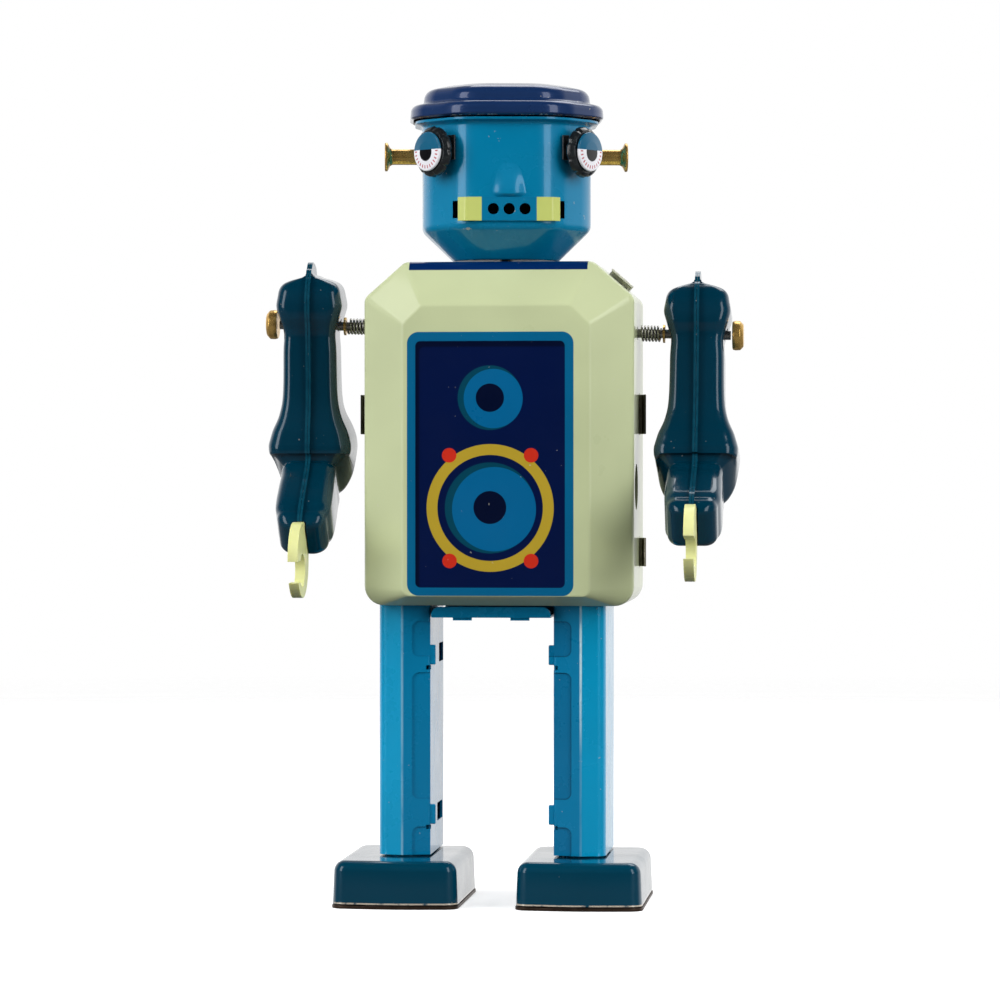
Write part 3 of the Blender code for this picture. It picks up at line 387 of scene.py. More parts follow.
class Graph:
    """A node tree with short calls for its nodes."""

    def __init__(self, tree):
        self.tree = tree

    def put(self, socket, value):
        if isinstance(value, bpy.types.NodeSocket):
            self.tree.links.new(value, socket)
        elif socket.type == "RGBA":
            socket.default_value = (*value, 1.0)
        else:
            socket.default_value = value

    def node(self, kind, inputs=(), **settings):
        made = self.tree.nodes.new(kind)
        for key, value in settings.items():
            setattr(made, key, value)
        for key, value in dict(inputs).items():
            self.put(made.inputs[key], value)
        return made

    def math(self, operation, a, b=0.0):
        return self.node("ShaderNodeMath", {0: a, 1: b}, operation=operation).outputs[0]

    def design(self, matrix=None):
        """Object coordinates as x, y, z in millimetres of the design frame, or of a part's own."""
        inverse = (TO_WORLD @ matrix if matrix else TO_WORLD).inverted()
        place, turn, scale = inverse.decompose()
        where = self.node("ShaderNodeTexCoord").outputs["Object"]
        inputs = {"Vector": where, "Location": place, "Rotation": turn.to_euler(), "Scale": scale}
        mapped = self.node("ShaderNodeMapping", inputs).outputs[0]
        split = self.node("ShaderNodeSeparateXYZ", {0: mapped})
        return split.outputs[0], split.outputs[1], split.outputs[2]

    def noise(self, size, detail=3.0, rough=0.5, squash=(1, 1, 1)):
        """Noise of about 0.5, with features of a given size in millimetres."""
        where = self.node("ShaderNodeTexCoord").outputs["Object"]
        scale = [axis / (size * MM) for axis in squash]
        mapped = self.node("ShaderNodeMapping", {"Vector": where, "Scale": scale}).outputs[0]
        inputs = {"Vector": mapped, "Scale": 1.0, "Detail": detail, "Roughness": rough}
        return self.node("ShaderNodeTexNoise", inputs).outputs["Fac"]

    def ramp(self, value, low, high, start=0.0, end=1.0, kind="LINEAR"):
        inputs = {"Value": value, "From Min": low, "From Max": high, "To Min": start, "To Max": end}
        return self.node("ShaderNodeMapRange", inputs, interpolation_type=kind).outputs[0]

    def mix(self, share, a, b):
        made = self.tree.nodes.new("ShaderNodeMix")
        made.data_type = "RGBA"
        self.put(made.inputs["Factor"], share)
        colours = [socket for socket in made.inputs if socket.type == "RGBA"]
        for socket, value in zip(colours, (a, b)):
            self.put(socket, value)
        return [socket for socket in made.outputs if socket.type == "RGBA"][0]

    def times(self, a, b):
        return self.math("MULTIPLY", a, b)

    def minus(self, a, b):
        return self.math("SUBTRACT", a, b)

    def inside(self, distance, soft=0.12):
        """1 where a signed distance in millimetres is below zero."""
        return self.ramp(distance, soft / 2, -soft / 2)

    def disc(self, x, z, cx, cz, radius):
        dx = self.minus(x, cx)
        dz = self.minus(z, cz)
        squared = self.math("ADD", self.times(dx, dx), self.times(dz, dz))
        return self.minus(self.math("SQRT", squared), radius)

    def slab(self, value, low, high):
        """Signed distance from a span of one coordinate."""
        middle = (low + high) / 2
        away = self.math("ABSOLUTE", self.minus(value, middle))
        return self.minus(away, (high - low) / 2)

    def panel(self, x, z, low, high, radius):
        """Signed distance from a rectangle with round corners."""
        dx = self.math("ADD", self.slab(x, low[0], high[0]), radius)
        dz = self.math("ADD", self.slab(z, low[1], high[1]), radius)
        ox = self.math("MAXIMUM", dx, 0.0)
        oz = self.math("MAXIMUM", dz, 0.0)
        outside = self.math("SQRT", self.math("ADD", self.times(ox, ox), self.times(oz, oz)))
        within = self.math("MINIMUM", self.math("MAXIMUM", dx, dz), 0.0)
        return self.minus(self.math("ADD", outside, within), radius)

    def bump(self, height, strength, distance):
        inputs = {"Height": height, "Strength": strength, "Distance": distance * MM}
        return self.node("ShaderNodeBump", inputs).outputs[0]


class Finish(Graph):
    """A surface material and its graph."""

    def __init__(self, name):
        self.material = bpy.data.materials.new(name)
        self.material.use_nodes = True
        super().__init__(self.material.node_tree)
        self.shader = self.tree.nodes["Principled BSDF"]

    def surface(self, name, value):
        self.put(self.shader.inputs[name], value)


def srgb(r, g, b):
    """A colour given as 0 to 255 sRGB values."""
    made = []
    for value in (r, g, b):
        c = value / 255
        made.append(c / 12.92 if c <= 0.04045 else ((c + 0.055) / 1.055) ** 2.4)
    return tuple(made)


BARE = srgb(196, 194, 186)


def lacquer(f, colour, rough=0.3, wear=0.55, chips=0.5, coat=0.7, metal=0.0):
    """Glossy printed tin: tone drift, chips, worn edges, orange peel and a clear coat."""
    drift = f.ramp(f.noise(26, 2), 0.3, 0.7, 0.93, 1.05)
    shade = f.node("ShaderNodeHueSaturation", {"Value": drift, "Color": colour}).outputs[0]
    fine = f.noise(1.1, 2)
    patch = f.noise(9, 2)
    chip = f.times(f.ramp(fine, 0.735, 0.75), f.ramp(patch, 0.5, 0.56))
    chip = f.times(chip, chips)
    shade = f.mix(chip, shade, BARE)
    point = f.node("ShaderNodeNewGeometry").outputs["Pointiness"]
    ragged = f.math("ADD", point, f.ramp(f.noise(0.9, 4, 0.7), 0.3, 0.7, -0.05, 0.05))
    wear_and_highlight = f.times(f.ramp(ragged, wear + 0.045, wear + 0.065), f.ramp(f.noise(7, 2), 0.44, 0.6))
    shade = f.mix(wear_and_highlight, shade, BARE)
    bare = f.math("MAXIMUM", wear_and_highlight, chip)
    f.surface("Base Color", shade)
    smear = f.ramp(f.noise(14, 5, 0.6), 0.3, 0.7, rough - 0.05, rough + 0.07)
    f.surface("Roughness", f.math("ADD", smear, f.times(bare, 0.1)))
    f.surface("Metallic", f.math("MAXIMUM", f.times(bare, 0.7), metal))
    peel = f.math("ADD", f.times(f.noise(0.7, 2), 0.02), f.times(f.noise(16, 1), 0.5))
    f.surface("Normal", f.bump(peel, 0.35, 0.25))
    f.shader.inputs["Specular IOR Level"].default_value = 0.2
    f.surface("Coat Weight", coat)
    f.shader.inputs["Coat Roughness"].default_value = 0.04
    f.shader.inputs["Coat IOR"].default_value = 1.5
    return f.material


def plain_lacquer(name, colour, **options):
    return lacquer(Finish(name), colour, **options)


def body_print():
    """Sage green tin with the printed loudspeaker panel and the navy top."""
    f = Finish("green_tin_print")
    x, y, z = f.design()
    green = srgb(188, 197, 154)
    blue = srgb(0, 92, 134)
    cone = srgb(0, 92, 140)
    field = srgb(0, 16, 60)
    shadow = srgb(0, 62, 82)
    pit = srgb(0, 8, 38)
    red = srgb(196, 44, 26)
    front = f.ramp(y, BODY_FRONT + 0.55, BODY_FRONT + 0.45)
    border = f.inside(f.panel(x, z, (-21.4, 74.9), (18.7, 138.2), 2.8))
    colour = f.mix(f.times(border, front), green, blue)
    inner = f.inside(f.panel(x, z, (-19.4, 76.9), (16.6, 136.0), 1.2))
    navy = f.times(inner, front)
    colour = f.mix(navy, colour, pit)
    lit = f.inside(f.panel(x, z, (-18.4, 76.0), (17.4, 134.6), 1.2), 0.4)
    colour = f.mix(f.times(navy, lit), colour, field)
    discs = (
        (-1.4, 122.4, 7.75, shadow),
        (-0.6, 122.2, 7.1, cone),
        (-1.4, 122.4, 3.4, pit),
        (-1.35, 96.0, 15.3, srgb(176, 150, 44)),
        (-1.35, 96.0, 12.7, field),
        (-1.35, 96.0, 10.9, shadow),
        (-0.4, 95.7, 10.1, cone),
        (-1.4, 96.1, 3.95, pit),
        (-11.2, 108.6, 1.75, red),
        (8.5, 108.6, 1.75, red),
        (-11.1, 83.3, 1.75, red),
        (8.5, 83.3, 1.75, red),
    )
    for cx, cz, radius, paint in discs:
        mask = f.times(f.inside(f.disc(x, z, cx, cz, radius)), front)
        colour = f.mix(mask, colour, paint)
    top = f.ramp(z, BODY_TOP - 2.15, BODY_TOP - 2.05)
    span = f.inside(f.panel(x, y, (-21.6, -30.0), (21.6, 17.0), 1.5))
    colour = f.mix(f.times(top, span), colour, srgb(0, 34, 86))
    return lacquer(f, colour, rough=0.32, wear=0.6, chips=0.35, coat=0.55)


def mouth_print():
    """Blue strip with pale green ends."""
    f = Finish("mouth_tin_print")
    x = f.design(HEAD_PLACE)[0]
    ends = f.ramp(f.math("ABSOLUTE", x), 6.55, 6.65)
    colour = f.mix(ends, srgb(0, 112, 152), srgb(192, 202, 112))
    return lacquer(f, colour, rough=0.3, wear=0.6, chips=0.3)


def arm_paint():
    """Dark teal, with a painted highlight along the flange where the two halves meet."""
    f = Finish("dark_teal_tin_gloss")
    x = f.design()[0]
    away = f.math("ABSOLUTE", f.minus(f.math("ABSOLUTE", x), ARM_X))
    # painted highlight: a paler teal band on the flange, broken up by noise
    flange = f.times(f.ramp(away, 0.66, 0.6), f.ramp(f.noise(2.0, 3), 0.3, 0.6, 0.4, 0.9))
    colour = f.mix(flange, srgb(0, 50, 70), srgb(12, 70, 90))
    return lacquer(f, colour, rough=0.2, wear=0.6, chips=0.3, metal=0.15)


def foot_paint():
    """Dark teal with a thin bare line along the folded lower edge."""
    f = Finish("foot_tin")
    z = f.design()[2]
    edge = f.ramp(z, FOOT_LOW + 0.42, FOOT_LOW + 0.3)
    ragged = f.times(edge, f.ramp(f.noise(2.2, 3), 0.36, 0.46))
    colour = f.mix(ragged, srgb(0, 60, 82), srgb(190, 180, 165))
    return lacquer(f, colour, rough=0.2, wear=0.58, chips=0.25, coat=0.7, metal=0.15)


def leg_paint():
    """Blue, painted brighter outside as if lit, with a painted highlight down the front fold and painted
    shade in the pressed panels.
    """
    f = Finish("leg_tin_gloss")
    x, y, z = f.design()
    across = f.minus(x, HIP_X)
    side = f.math("ABSOLUTE", across)
    # painted highlight: a pale line down the front fold of each leg, strong on the upper left leg and faint
    # down the right leg, broken up by noise
    away = f.math("ABSOLUTE", f.minus(side, LEG_X + LEG_RIDGE))
    ridge = f.times(f.ramp(away, 0.36, 0.2), f.ramp(y, LEG_FRONT + 0.5, LEG_FRONT + 0.3))
    left = f.ramp(across, -1.0, 1.0)
    upper = f.times(left, f.ramp(z, 36.0, 50.0, 0.12, 1.0))
    wear_and_highlight = f.math("MAXIMUM", upper, f.times(f.minus(1.0, left), 0.3))
    fold_highlight = f.times(f.times(ridge, wear_and_highlight), f.ramp(f.noise(3.0, 3, 0.6, (1, 1, 0.25)), 0.3, 0.5, 0.3, 0.95))
    # painted light: the outer half of each leg is painted a brighter blue than the inner half, as if lit
    outer = f.ramp(side, LEG_X, LEG_X + 1.0)
    paint = f.mix(outer, srgb(0, 122, 168), srgb(0, 150, 196))
    colour = f.mix(fold_highlight, paint, srgb(196, 228, 238))
    # painted shade: the pressed panels are painted darker inside, with painted dark lines along their edges,
    # full on the left leg and faint on the right
    strength = f.ramp(left, 0.0, 1.0, 0.3, 1.0)
    for low, high in LEG_PANELS:
        step = f.panel(side, z, (0.0, low), (LEG_X - LEG_HALF + PANEL_WIDTH, high), 1.6)
        near = f.times(f.ramp(y, LEG_FRONT + 2.2, LEG_FRONT + 2.0), strength)
        colour = f.mix(f.times(f.times(f.inside(step), near), 0.3), colour, srgb(0, 66, 112))
        line = f.inside(f.minus(f.math("ABSOLUTE", step), 0.12), 0.2)
        colour = f.mix(f.times(f.times(line, near), 0.6), colour, srgb(0, 30, 50))
    return lacquer(f, colour, rough=0.26, wear=9.0, chips=0.4, coat=0.6, metal=0.1)


def facet_frame(s):
    """The frame whose -Y leaves the middle of a front facet of the head at eye height."""
    middle = Vector((s * (HEAD_FLAT + HEAD_HALF) / 2, -(2 * HEAD_HALF - HEAD_FACET) / 2, FACE_Z))
    angle = s * math.atan2(HEAD_FACET, HEAD_HALF - HEAD_FLAT)
    return HEAD_PLACE @ Matrix.Translation(middle) @ Matrix.Rotation(angle, 4, "Z")


def eye_print(side, s):
    """White dial with plain tick marks, a heavy teal lid and a dark pupil."""
    f = Finish("eye_print_" + side)
    x, _, z = f.design(facet_frame(s))
    colour = srgb(232, 232, 238)
    angle = f.math("ARCTAN2", z, x)
    ticks = f.math("COSINE", f.times(angle, 26.0))
    band = f.minus(f.inside(f.disc(x, z, 0, 0, 4.1)), f.inside(f.disc(x, z, 0, 0, 3.3)))
    low = f.ramp(z, 2.0, 1.6)
    marks = f.times(f.times(band, low), f.ramp(ticks, 0.2, 0.6))
    colour = f.mix(f.times(marks, 0.9), colour, srgb(176, 40, 60))
    pupil = f.inside(f.disc(x, z, 0, -0.2, 2.15))
    colour = f.mix(pupil, colour, srgb(14, 14, 18))
    lid = f.times(f.inside(f.disc(x, z, 0, 0, 5.2)), f.ramp(z, 0.35, 0.45))
    colour = f.mix(lid, colour, srgb(22, 92, 124))
    return lacquer(f, colour, rough=0.15, wear=0.9, chips=0.0, coat=1.0)


def black_lacquer():
    f = Finish("black_plastic_worn")
    grey = f.ramp(f.noise(1.6, 4, 0.7), 0.55, 0.75, 0.0, 0.5)
    f.surface("Base Color", f.mix(grey, (0.008, 0.01, 0.012), (0.05, 0.06, 0.06)))
    f.surface("Roughness", f.ramp(f.noise(3, 3), 0.3, 0.7, 0.18, 0.4))
    f.surface("Normal", f.bump(f.noise(0.8, 3), 0.3, 0.15))
    f.surface("Coat Weight", 0.6)
    f.shader.inputs["Coat Roughness"].default_value = 0.15
    return f.material


def claw_plastic():
    """Pale moulded plastic, a little translucent, with shallow flow marks."""
    f = Finish("claw_plastic_moulded")
    tone = f.ramp(f.noise(5, 3), 0.3, 0.7, 0.94, 1.04)
    inputs = {"Value": tone, "Color": srgb(220, 222, 156)}
    shade = f.node("ShaderNodeHueSaturation", inputs).outputs[0]
    f.surface("Base Color", shade)
    f.surface("Roughness", f.ramp(f.noise(2, 3), 0.3, 0.7, 0.34, 0.48))
    f.surface("Normal", f.bump(f.noise(1.5, 3), 0.25, 0.1))
    f.surface("Subsurface Weight", 0.25)
    f.surface("Subsurface Radius", (1.0, 0.9, 0.4))
    f.surface("Subsurface Scale", 0.0012)
    return f.material


def metal(name, colour, rough, tarnish, squash=(1, 1, 1), metallic=0.88):
    """Bare metal with fine drawn lines and darker tarnish."""
    f = Finish(name)
    spots = f.ramp(f.noise(2.4, 4, 0.65), 0.42, 0.72)
    f.surface("Base Color", f.mix(f.times(spots, 0.55), colour, tarnish))
    drawn = f.noise(1.2, 4, 0.7, squash)
    f.surface("Roughness", f.ramp(drawn, 0.3, 0.7, rough - 0.06, rough + 0.1))
    f.surface("Normal", f.bump(f.noise(0.5, 3, 0.6, squash), 0.25, 0.04))
    f.surface("Metallic", metallic)
    return f.material


def rubber():
    f = Finish("rubber_matt")
    dust = f.ramp(f.noise(2.5, 5, 0.7), 0.45, 0.8)
    f.surface("Base Color", f.mix(dust, (0.015, 0.015, 0.016), (0.09, 0.085, 0.08)))
    f.surface("Roughness", f.ramp(f.noise(1.0, 3), 0.3, 0.7, 0.7, 0.9))
    f.surface("Normal", f.bump(f.noise(0.6, 3), 0.4, 0.1))
    return f.material


GREEN = body_print()
TEAL = plain_lacquer("teal_tin_gloss", srgb(0, 123, 165), rough=0.26, wear=0.57, coat=0.45, metal=0.1)
HAT_NAVY = plain_lacquer("navy_tin_gloss", srgb(24, 50, 94), rough=0.24, wear=0.53, chips=0.8, metal=0.2)
ARM_TEAL = arm_paint()
LEG_BLUE = leg_paint()
FOOT_TEAL = foot_paint()
MOUTH = mouth_print()
BLACK = black_lacquer()
CLAW = claw_plastic()
BRASS = metal("brass_polished", srgb(240, 196, 112), 0.22, srgb(164, 118, 60), metallic=0.8)
STEEL = metal("steel_drawn", srgb(176, 174, 168), 0.26, srgb(96, 92, 86))
PLATED = metal("plated_steel_dull", srgb(150, 148, 144), 0.34, srgb(92, 84, 74))
SOLE = metal("sole_steel_dark", srgb(92, 76, 66), 0.42, srgb(44, 34, 28))
RUBBER = rubber()
TAB = metal("tab_bare_edge", srgb(150, 144, 128), 0.3, srgb(60, 64, 48))
# painted light: a brighter, less metallic copy of the tabs' bare tin, so the slope tabs look lit
TAB_PAINTED_LIT = metal("tab_bare_tin_painted_lit", srgb(236, 234, 224), 0.5, srgb(150, 148, 130), metallic=0.25)
CAD_FINISH = {
    "green_tin": GREEN,
    "teal_tin": TEAL,
    "navy_tin": HAT_NAVY,
    "dark_teal_tin": ARM_TEAL,
    "leg_tin": LEG_BLUE,
    "mouth_tin": MOUTH,
    "black_plastic": BLACK,
    "eye_print": BLACK,
    "claw_plastic": CLAW,
    "brass": BRASS,
    "steel": STEEL,
    "plated_steel": PLATED,
    "rubber": RUBBER,
}


# ---- body


def octagon_box(half, low, top, chamfer):
    dx, dz = chamfer
    return [
        (-half, low),
        (half, low),
        (half, top - dz),
        (half - dx, top),
        (-half + dx, top),
        (-half, top - dz),
    ]


def body_ring(share, distance, y):
    """Outline between the body's (share 0) and the front flat's (share 1), moved inward."""
    outer = octagon_box(BODY_HALF, BODY_LOW, BODY_TOP, BODY_CHAMFER)
    flat = octagon_box(FLAT_HALF, FLAT_LOW, FLAT_TOP, (FLAT_CHAMFER, FLAT_CHAMFER))
    corners = [tuple(Vector(a).lerp(Vector(b), share)) for a, b in zip(outer, flat)]
    radii = [a + (b - a) * share - distance for a, b in zip(BODY_RADII, FLAT_RADII)]
    return in_xz(rounded(inset(corners, distance), [max(r, 0.5) for r in radii]), y)


def leg_openings(s):
    x = HIP_X + s * LEG_X
    return box_mesh((x - 7.0, LEG_FRONT - 1.2, 60), (x + 7.0, LEG_BACK + 1.2, 76))


def shaft_z(x):
    left = SHOULDER_Z["left"]
    right = SHOULDER_Z["right"]
    return (left + right) / 2 + (left - right) / 2 * x / SHAFT_REACH


def chamfer_place(s):
    """The frame of a sloping top corner: X along the slope, Z out of it."""
    dx, dz = BODY_CHAMFER
    middle = Vector((BODY_HALF - dx / 2, 0, BODY_TOP - dz / 2))
    place = Matrix.Translation(middle) @ Matrix.Rotation(math.atan2(dz, dx), 4, "Y")
    return place if s > 0 else Matrix.Scale(-1, 4, (1, 0, 0)) @ place


def front_shell():
    path = [(0, BODY_BACK), (0, BODY_EDGE), (FACET, BODY_FRONT), (FACET + 3, BODY_FRONT)]
    rings = []
    for across, y in fillet(path, [0, 2.2, 1.5, 0], 7):
        share = min(across / FACET, 1.0)
        rings.append(body_ring(share, max(across - FACET, 0.0), y))
    cuts = []
    for _, s in SIDES:
        cuts.append(leg_openings(s))
        start = min(30 * s, 36 * s)
        cuts.append(rod_mesh("X", (0, 0, shaft_z(BODY_HALF * s)), start, start + 6, 1.7))
        for low, high in TAB_SPANS:
            cuts.append(box_mesh((start, TAB_Y - 0.4, low - 0.3), (start + 6, TAB_Y + 1.1, high + 0.3)))
        slope = box_mesh((-3.7, TAB_Y - 0.3, -2.8), (3.7, TAB_Y + 0.8, 1.6))
        cuts.append(moved(slope, chamfer_place(s)))
    y, z = WINDING
    cuts.append(rod_mesh("X", (0, y, z), 30, 36, 5.6, 64))
    cuts.append(rod_mesh("Z", (HEAD_X, 0, 0), 150, 160, 1.9))
    shell = loft_mesh(rings, first=False)
    piece("front_shell_tin", shell, "torso", GREEN, ["front_shell"], SHEET, cuts)


def back_shell():
    """The back pan, pressed in slightly over most of its back, with its bent side tabs."""
    rim = SHEET + 0.3
    path = [(rim, PAN_FRONT), (rim, PAN_BACK), (6.4, PAN_BACK), (7.4, PAN_BACK - 0.9), (9.4, PAN_BACK - 0.9)]
    rings = [body_ring(0, d, y) for d, y in fillet(path, [0, 1.8, 0.6, 0.6, 0], 6)]
    cuts = [leg_openings(s) for _, s in SIDES]
    shell = loft_mesh(rings, first=False)
    piece("back_shell_tin", shell, "torso", GREEN, ["back_shell"], SHEET, cuts)
    for side, s in SIDES:
        for i, (low, high) in enumerate(TAB_SPANS):
            tab = side_tab(s, low, high, TAB_OUT[side, i])
            piece(f"side_tab_{side}_{i}", tab, "torso", TAB, bevel=0.14)
        lug = box_mesh((-3.3, TAB_Y, -1.6), (3.3, TAB_Y + 0.5, 1.5))
        lip = box_mesh((-3.3, TAB_Y - 2.5, 1.1), (3.3, TAB_Y + 0.5, 1.6))
        # the slope tabs take the painted-lit copy of the bare tin
        piece(f"slope_tab_{side}", lug, "torso", TAB_PAINTED_LIT, adds=[lip], bevel=0.14,
              place=chamfer_place(s))


def side_tab(s, low, high, out):
    """A tab that comes out of the side wall and is bent forward."""
    x_in = (BODY_HALF - 1.2) * s
    x_out = (BODY_HALF + out - 1.0) * s
    x_tip = (BODY_HALF + out) * s
    y = TAB_Y
    outline = [(x_in, y), (x_out - 0.2 * s, y), (x_tip - 0.6 * s, y - 2.6)]
    outline += [(x_tip - 0.1 * s, y - 2.3), (x_out + 0.5 * s, y + 0.5), (x_in, y + 0.5)]
    return loft_mesh([in_xy(outline, low), in_xy(outline, high)])


# ---- head


def head_ring(half, z, radius=HEAD_RADIUS):
    scale = half / HEAD_HALF
    flat = HEAD_FLAT * scale
    side = half - HEAD_FACET * scale
    shape = [(-flat, -half), (flat, -half), (half, -side), (half, side)]
    shape += [(flat, half), (-flat, half), (-half, side), (-half, -side)]
    return in_xy(rounded(shape, radius * scale), z)


def nose():
    """A soft wedge pressed out of the face, deepest just above its foot."""
    bm = bmesh.new()
    columns = 28
    rows = 36
    grid = []
    for j in range(rows + 1):
        v = j / rows
        z = NOSE_LOW + NOSE_TALL * v
        line = []
        for i in range(columns + 1):
            u = 2 * i / columns - 1
            half_width = NOSE_HALF[0] - NOSE_HALF[1] * v
            rise = math.exp(-((max(v - 0.14, 0.0) / 0.44) ** 2)) * min(1.0, v / 0.1)
            rise *= 1 - min(1.0, max(0.0, (v - 0.75) / 0.25))
            across = (1 - min(1.0, abs(u)) ** 2.4) ** 1.6
            height = NOSE_REACH * rise * across
            droop = 0.8 * (1 - u * u) * (1 - v)
            line.append(bm.verts.new((u * half_width, -HEAD_HALF + 0.06 - height, z - droop)))
        grid.append(line)
    for a, b in zip(grid, grid[1:]):
        for i in range(columns):
            bm.faces.new((a[i], a[i + 1], b[i + 1], b[i]))
    piece("nose_pressing", bm, "head", TEAL, thick=0.3, place=HEAD_PLACE)


def mouth_holes(end):
    """Rods through the face for the three round holes of the mouth."""
    centres = [(k * MOUTH_HOLE_GAP, 0, MOUTH_Z) for k in (-1, 0, 1)]
    return [rod_mesh("Y", centre, -23, end, MOUTH_HOLE_R) for centre in centres]


def head_shell():
    path = [(22.2, 189.6), (22.2, 189.0), (HEAD_HALF, 188.5)]
    path += [(HEAD_HALF, 163.4), (MOUTH_SLOT_X, CHIN_LOW), (9, CHIN_LOW)]
    rings = [head_ring(half, z) for half, z in fillet(path, [0, 0.25, 0.9, 2.6, 0.9, 0], 7)]
    cuts = [rod_mesh("Z", (0, 0, 0), 150, 160, NECK_HOLE_R)]
    for s in (-1, 1):
        x = s * MOUTH_SLOT_X
        cuts.append(box_mesh((x - 0.75, -21, MOUTH_Z - 2.1), (x + 0.75, -15, MOUTH_Z + 2.1)))
        start = min(16 * s, 24 * s)
        cuts.append(rod_mesh("X", (0, 0, FACE_Z), start, start + 8, EAR_HOLE_R))
    cuts += mouth_holes(-18)
    shell = loft_mesh(rings, first=False)
    piece("head_shell_tin", shell, "head", TEAL, ["head_shell"], SHEET, cuts, place=HEAD_PLACE)


def hat():
    path = [(22.7, 190.0), (23.45, 190.4), (23.3, 193.3), (20.3, 193.8)]
    path += [(19.9, 197.0), (14.5, 198.3), (6, HAT_TOP)]
    radii = [0, 0.4, 1.7, 0.9, 2.6, 8.0, 0]
    rings = [head_ring(half, z, HAT_RADIUS) for half, z in fillet(path, radii, 7)]
    crown = loft_mesh(rings, first=False)
    piece("hat_tin", crown, "head", HAT_NAVY, ["hat"], SHEET, place=HEAD_PLACE)


def mouth_plate():
    """A thin strip over the face, bent into a slot at each end."""
    y = -HEAD_HALF - 0.3
    front = fillet([(-12.3, y + 0.9), (-10.4, y - 0.5), (10.4, y - 0.5), (12.3, y + 0.9)], [0, 1.6, 1.6, 0])
    back = fillet([(12.0, y + 1.3), (10.2, y), (-10.2, y), (-12.0, y + 1.3)], [0, 1.2, 1.2, 0])
    outline = front + back
    rings = [in_xy(outline, MOUTH_Z - 2.85), in_xy(outline, MOUTH_Z + 2.85)]
    strip = loft_mesh(rings)
    cuts = mouth_holes(-19)
    nodes = ["mouth_plate"]
    piece("mouth_strip", strip, "head", MOUTH, nodes, cuts=cuts, bevel=0.1, place=HEAD_PLACE)


def collar_notch(angle):
    return -NOTCH_DEPTH * max(0, math.cos(NOTCHES * angle)) ** 4


def eye_bezel(side, s):
    """A black collar with a notched outer edge and a bevelled front."""
    path = [(-0.3, 1.6), (-0.3, 2.6), (-2.5, 2.6), (-2.5, 5.8)]
    path += [(-3.0, 6.15), (-3.9, 5.9), (-4.6, 5.2), (-4.6, 1.6)]
    profile = fillet(path, [0, 0.1, 0.3, 0.2, 0.3, 0.4, 0.2, 0], 4)
    notched = turned_mesh(profile, "Y", sides=144, ring=True, wave=collar_notch)
    across, tall = EYE_PAD
    low = (-across, -0.8, EYE_PAD_RISE - tall)
    pad = box_mesh(low, (across, -0.3, EYE_PAD_RISE + tall))
    piece(f"eye_pad_{side}", pad, "head", BLACK, bevel=0.15, place=facet_frame(s))
    nodes = ["eye_bezel_" + side]
    piece(f"eye_collar_{side}", notched, "head", BLACK, nodes, place=facet_frame(s))


def eye_disc(side, s):
    path = [(3.0, 0), (3.0, 1.2), (-4.9, 1.2), (-4.9, 4.7), (-5.5, 4.75), (-5.8, 2.4), (-5.85, 0)]
    profile = fillet(path, [0, 0, 0, 0.2, 0.35, 1.0, 0], 4)
    disc = turned_mesh(profile, "Y", sides=64)
    nodes = ["eye_disc_" + side]
    piece(f"eye_dial_{side}", disc, "head", eye_print(side, s), nodes, place=facet_frame(s))


def ear_tube(side, s):
    end = EAR_END
    path = [(16.5, 0), (16.5, 1.4), (20.7, 1.4), (20.7, 1.9), (end - 1.5, 1.9), (end - 0.7, 3.5), (end, 3.5)]
    path += [(end - 0.1, 1.5), (end - 5, 1.1), (end - 5, 0)]
    profile = fillet(path, [0, 0, 0, 0.2, 1.0, 0.25, 0.3, 0.8, 0.3, 0], 5)
    tube = turned_mesh([(along * s, radius) for along, radius in profile], "X", (0, 0, FACE_Z), 48)
    piece(f"ear_rivet_{side}", tube, "head", BRASS, ["ear_tube_" + side], place=HEAD_PLACE)


# ---- shoulders and arms


def rivet_head(side, s):
    path = [(55.8, 0), (55.8, 3.4), (56.5, 3.6), (57.7, 3.55), (58.5, 2.7), (58.5, 0)]
    profile = fillet(path, [0, 0.2, 0.3, 0.5, 0.5, 0], 5)
    head = turned_mesh([(along * s, radius) for along, radius in profile], "X", (0, 0, shaft_z(57 * s)), 48)
    piece(f"rivet_cap_{side}", head, "torso", BRASS, ["rivet_head_" + side])


def shoulder_spring(side, s):
    """A coil of round wire."""
    start, end = (Vector((x * s, 0, shaft_z(x * s))) for x in SPRING_SPAN)
    along = (end - start).normalized()
    across = along.orthogonal().normalized()
    up = along.cross(across)
    per_turn = 28
    wire = 0.26
    sides = 10
    rings = []
    for k in range(SPRING_TURNS * per_turn + 1):
        share = k / (SPRING_TURNS * per_turn)
        angle = 2 * math.pi * k / per_turn
        outward = across * math.cos(angle) + up * math.sin(angle)
        middle = start.lerp(end, share) + outward * SPRING_R
        ring = []
        for i in range(sides):
            t = 2 * math.pi * i / sides
            ring.append(tuple(middle + outward * (wire * math.cos(t)) + along * (wire * math.sin(t))))
        rings.append(ring)
    coil = loft_mesh(rings)
    piece(f"spring_coil_{side}", coil, "torso", STEEL, ["shoulder_spring_" + side])


